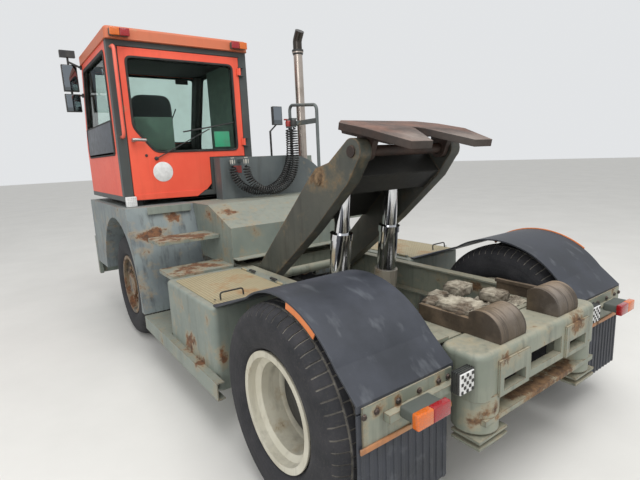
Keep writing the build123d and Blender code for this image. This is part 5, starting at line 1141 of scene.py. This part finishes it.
seat_low, seat_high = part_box("seat")
seat_y = (seat_low.y + seat_high.y) / 2
seat_pan = padding(
    "seat_cushion", (1.255, seat_y - 0.212, 1.805), (1.738, seat_y + 0.212, 1.918), 0.0, "chassis")
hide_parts("seat")
padding("seat_back", (1.135, seat_y - 0.203, 1.880), (1.250, seat_y + 0.203, 2.425), -0.10, "chassis")
block(
    "seat_shell", (1.118, seat_y - 0.190, 1.862), (1.150, seat_y + 0.190, 2.200), 0.014, "chassis",
    lining_grey)
lots_piece(
    "seat_base",
    [
        ((1.33, seat_y - 0.15, 1.452), (1.66, seat_y + 0.15, 1.48)),
        ((1.40, seat_y - 0.11, 1.475), (1.60, seat_y + 0.11, 1.76)),
        ((1.29, seat_y - 0.18, 1.755), (1.70, seat_y + 0.18, 1.812)),
    ],
    0.012, "chassis", black_moulding)

# Deck's bent-down lip behind the cab
lip = np.stack([np.full(12, 0.652), np.linspace(1.065, 0.660, 12), np.full(12, 1.317)], axis=1)
bar_piece("deck_lip", flat_bar(0.006, 0.070, 0.002), lip, "chassis", chassis_enamel)

# Coupling stand: red plate, hose fittings and the heads of the lines
block("stand_plate", (0.6972, 0.068, 1.610), (0.7005, 0.160, 1.684), 0.001, "chassis", red_enamel)
for number, (x, y) in enumerate(((0.640, 0.190), (0.538, 0.090))):
    turned(
        f"gland_{number}",
        [(0, 0), (0, 0.024), (0.018, 0.029), (0.050, 0.029), (0.056, 0.020), (0.074, 0.020), (0.074, 0)],
        (x, y, 1.693), (0, 0, 1), "chassis", pale_fitting, 6)
for number, (x, finish) in enumerate(((0.678, red_enamel), (0.582, black_moulding))):
    turned(
        f"park_head_{number}",
        [(0, 0), (0, 0.024), (0.012, 0.034), (0.050, 0.036), (0.070, 0.030), (0.088, 0.014), (0.088, 0)],
        (x, -0.525, 2.066), (0, 0, 1), "chassis", finish, 24)
    block(
        f"park_lever_{number}", (x - 0.012, -0.565, 2.140), (x + 0.012, -0.470, 2.156), 0.005, "chassis",
        finish)

# Side boxes: wire grips and stops on the lids, hinge leaves on the boxes
for side, hand, body in ((1, "left", "battery_lid"), (-1, "right", "right_lid")):
    grip = [
        (-0.970, side * 1.100, 0.872), (-0.966, side * 1.100, 0.917), (-0.966, side * 0.940, 0.917),
        (-0.970, side * 0.940, 0.872)]
    tube(f"lid_grip_{hand}", grip, 0.0055, 0.02, body, dark_steel)
    knuckles = [sided(side, (x, 0.596, 0.8655), (x + 0.085, 0.617, 0.880)) for x in (-0.50, -0.83)]
    lots_piece(f"lid_knuckles_{hand}", knuckles, 0.005, "chassis", dark_steel)
    stops = [sided(side, (-0.965, 1.128, 0.8735), (-0.950, 1.140, 0.8775))]
    lots_piece(f"lid_stops_{hand}", stops, 0.001, body, dark_steel)

# Exhaust: collar and clamp on the stack, bands on the silencer
turned(
    "stack_collar",
    [(-0.030, 0.0505), (-0.030, 0.0565), (-0.004, 0.0565), (0.0, 0.064), (0.022, 0.064), (0.024, 0.0505)],
    (0.840, -0.800, 2.900), (0, 0, 1), "chassis", black_moulding)
for number, z in enumerate((1.42, 1.66)):
    turned(
        f"silencer_band_{number}", [(0, 0.1052), (0, 0.1085), (0.024, 0.1085), (0.024, 0.1052)],
        (0.840, -0.800, z), (0, 0, 1), "chassis", bright_steel)

# Mirror glasses on the heads' rear faces
heads = [
    ((2.2095, 1.248, 2.578), (2.2125, 1.382, 2.842)), ((2.2095, 1.248, 2.358), (2.2125, 1.382, 2.532)),
    ((2.2095, -1.382, 2.228), (2.2125, -1.248, 2.472))]
lots_piece("mirror_panes", heads, 0.0012, "chassis", mirror_glass)

# Frame between the ramps: castings and caked dirt that lie on its cover
CLOD_WAVES = (
    # turn of the wave, its share of the height, how much shorter it is
    (0.3, 0.45, 1.0),
    (1.4, 0.35, 1.7),
    (2.3, 0.30, 2.9),
    (0.9, 0.22, 4.7),
    (2.9, 0.15, 7.9),
)


def clods(x, y, size_mm):
    """Lumpy height, about -1 to 1: waves of shrinking length that run in turned directions, added up."""
    height = 0.0
    for turn, share, stretch in CLOD_WAVES:
        along = (x * cos(turn) + y * sin(turn)) * 1000 / size_mm * stretch
        across = (y * cos(turn) - x * sin(turn)) * 1000 / size_mm * stretch
        height = height + share * np.sin(2 * pi * along + 5 * turn) * np.cos(2 * pi * across + turn)
    return height


CLOD_PUSH = 0.13
LUMP_ROWS = 80
LUMP_COLUMNS = 41


def rough_lump(name, low, high, size_mm, body, finish):
    """Dirty casting: a squared ball whose surface is pushed in and out by the clods' height."""
    low, high = np.asarray(low, float), np.asarray(high, float)
    lift, turn = np.meshgrid(
        np.linspace(-pi / 2, pi / 2, LUMP_COLUMNS), np.linspace(0, 2 * pi, LUMP_ROWS, endpoint=False))
    ball = np.stack([np.cos(lift) * np.cos(turn), np.cos(lift) * np.sin(turn), np.sin(lift)], axis=-1)
    shape = squared(ball, 0.6) * (high - low) / 2
    x, y, z = shape[..., 0], shape[..., 1], shape[..., 2]
    push = 1 + CLOD_PUSH * clods(x + 0.7 * z, y - 0.6 * z, size_mm)
    points = shape * push[..., None] + (low + high) / 2
    faces = grid_faces(LUMP_ROWS, LUMP_COLUMNS, True, False)
    return weld(new_piece(name, points, faces, body, finish, 70.0), 1e-4)


COVER_Z = 0.842
LUMPS = (
    # low and high corners of each casting
    ((-2.300, 0.160, COVER_Z), (-2.030, 0.360, 0.965)),
    ((-2.060, 0.150, COVER_Z), (-1.900, 0.300, 0.925)),
    ((-1.935, -0.190, COVER_Z), (-1.790, -0.030, 0.925)),
    ((-2.160, -0.230, COVER_Z), (-2.010, -0.090, 0.915)),
    ((-1.905, 0.000, COVER_Z), (-1.795, 0.115, 0.898)),
)
LUMP_MM = 115.0
for number, (low, high) in enumerate(LUMPS):
    rough_lump(f"frame_casting_{number}", low, high, LUMP_MM, "chassis", caked_casting)


DIRT_Z = 0.838
DIRT_STEPS = 61


def caked_dirt(name, low, high, height, size_mm, body):
    """Heap of caked dirt: a sheet lifted by the clods' height, falling to nothing at its edge."""
    step = np.linspace(-1, 1, DIRT_STEPS)
    u, v = np.meshgrid(step, step)
    x = (low[0] + high[0]) / 2 + u * (high[0] - low[0]) / 2
    y = (low[1] + high[1]) / 2 + v * (high[1] - low[1]) / 2
    lumps = clods(x, y, size_mm)
    fall = np.clip(1.25 - np.sqrt(u**2 + v**2 + 0.25 * np.sin(5 * u + 3 * v) * u * v), 0, 1)
    z = DIRT_Z + height * np.maximum(0.0, 0.55 + lumps) * np.sqrt(fall) - 0.002
    points = np.stack([x, y, z], axis=-1)
    return new_piece(name, points, grid_faces(DIRT_STEPS, DIRT_STEPS), body, caked_casting, 80.0)


caked_dirt("dirt_left", (-2.200, 0.02), (-1.975, 0.165), 0.040, 110.0, "chassis")
caked_dirt("dirt_right", (-2.220, -0.330), (-1.975, -0.02), 0.030, 130.0, "chassis")


# Floor, light and camera

floor_finish, floor_tree, floor_where = blank("pale_floor", Roughness=0.9)
floor_cloud = between(floor_tree, noise(floor_tree, floor_where, 900.0), 0.3, 0.7)
surfaced(floor_finish, mixed(floor_tree, floor_cloud, "#D6D4CF", "#DDDBD6"))
FLOOR_HALF = 60.0
floor_corners = [(x * FLOOR_HALF, y * FLOOR_HALF, 0) for x, y in ((-1, -1), (1, -1), (1, 1), (-1, 1))]
floor_mesh = bpy.data.meshes.new("floor")
floor_mesh.from_pydata(floor_corners, [], [(0, 1, 2, 3)])
floor_mesh.materials.append(floor_finish)
floor = bpy.data.objects.new("floor", floor_mesh)
bpy.context.scene.collection.objects.link(floor)

SKY_LIGHT = 0.80
SKY_SHOWN = 0.86
world = bpy.data.worlds.new("overcast")
world.use_nodes = True
sky_tree = world.node_tree
seen = add(sky_tree, "LightPath", {})
direct = worked(sky_tree, "MAXIMUM", seen.outputs["Is Camera Ray"], seen.outputs["Is Glossy Ray"])
direct = worked(sky_tree, "MAXIMUM", direct, seen.outputs["Is Transmission Ray"])
background = sky_tree.nodes["Background"]
sky_tree.links.new(between(sky_tree, direct, 0.0, 1.0, SKY_LIGHT, SKY_SHOWN), background.inputs["Strength"])
background.inputs["Color"].default_value = linear("#F2F4F6")
bpy.context.scene.world = world


def soft_lamp(name, place, aim, size, power):
    """Large soft lamp at a place, turned to face a point."""
    lamp = bpy.data.lights.new(name, "AREA")
    lamp.shape = "SQUARE"
    lamp.size = size
    lamp.energy = power
    holder = bpy.data.objects.new(name, lamp)
    holder.location = place
    holder.rotation_mode = "QUATERNION"
    holder.rotation_quaternion = (Vector(aim) - Vector(place)).to_track_quat("-Z", "Y")
    bpy.context.scene.collection.objects.link(holder)


soft_lamp("high_lamp", (-4.0, 1.0, 9.0), (0.0, 0.0, 1.0), 6.0, 560.0)
soft_lamp("side_lamp", (-6.0, 8.0, 5.0), (0.0, 0.5, 1.2), 5.0, 230.0)

# The camera stands behind the left rear corner at eye height, tipped a little to the side
CAMERA_PLACE = np.array([-3.560, 2.156, 1.740])
CAMERA_YAW = -0.6211
CAMERA_PITCH = -0.1855
CAMERA_ROLL = -0.0442
FOCAL_PIXELS = 444.94
IMAGE_WIDTH = 640
SENSOR_WIDTH = 36.0
ahead = np.array(
    [cos(CAMERA_PITCH) * cos(CAMERA_YAW), cos(CAMERA_PITCH) * sin(CAMERA_YAW), sin(CAMERA_PITCH)])
right = unit(np.cross(ahead, (0.0, 0.0, 1.0)))
above = np.cross(right, ahead)
tipped_right = cos(CAMERA_ROLL) * right + sin(CAMERA_ROLL) * above
tipped_up = -sin(CAMERA_ROLL) * right + cos(CAMERA_ROLL) * above
camera_data = bpy.data.cameras.new("camera")
camera_data.sensor_width = SENSOR_WIDTH
camera_data.lens = FOCAL_PIXELS / IMAGE_WIDTH * SENSOR_WIDTH
camera_data.clip_start = 0.05
camera_data.clip_end = 300.0
camera = bpy.data.objects.new("camera", camera_data)
turn_matrix = Matrix([list(row) for row in np.stack([tipped_right, tipped_up, -ahead], axis=1)]).to_4x4()
camera.matrix_world = Matrix.Translation(Vector(CAMERA_PLACE)) @ turn_matrix
bpy.context.scene.collection.objects.link(camera)
bpy.context.scene.camera = camera
bpy.context.scene.view_settings.view_transform = "Standard"
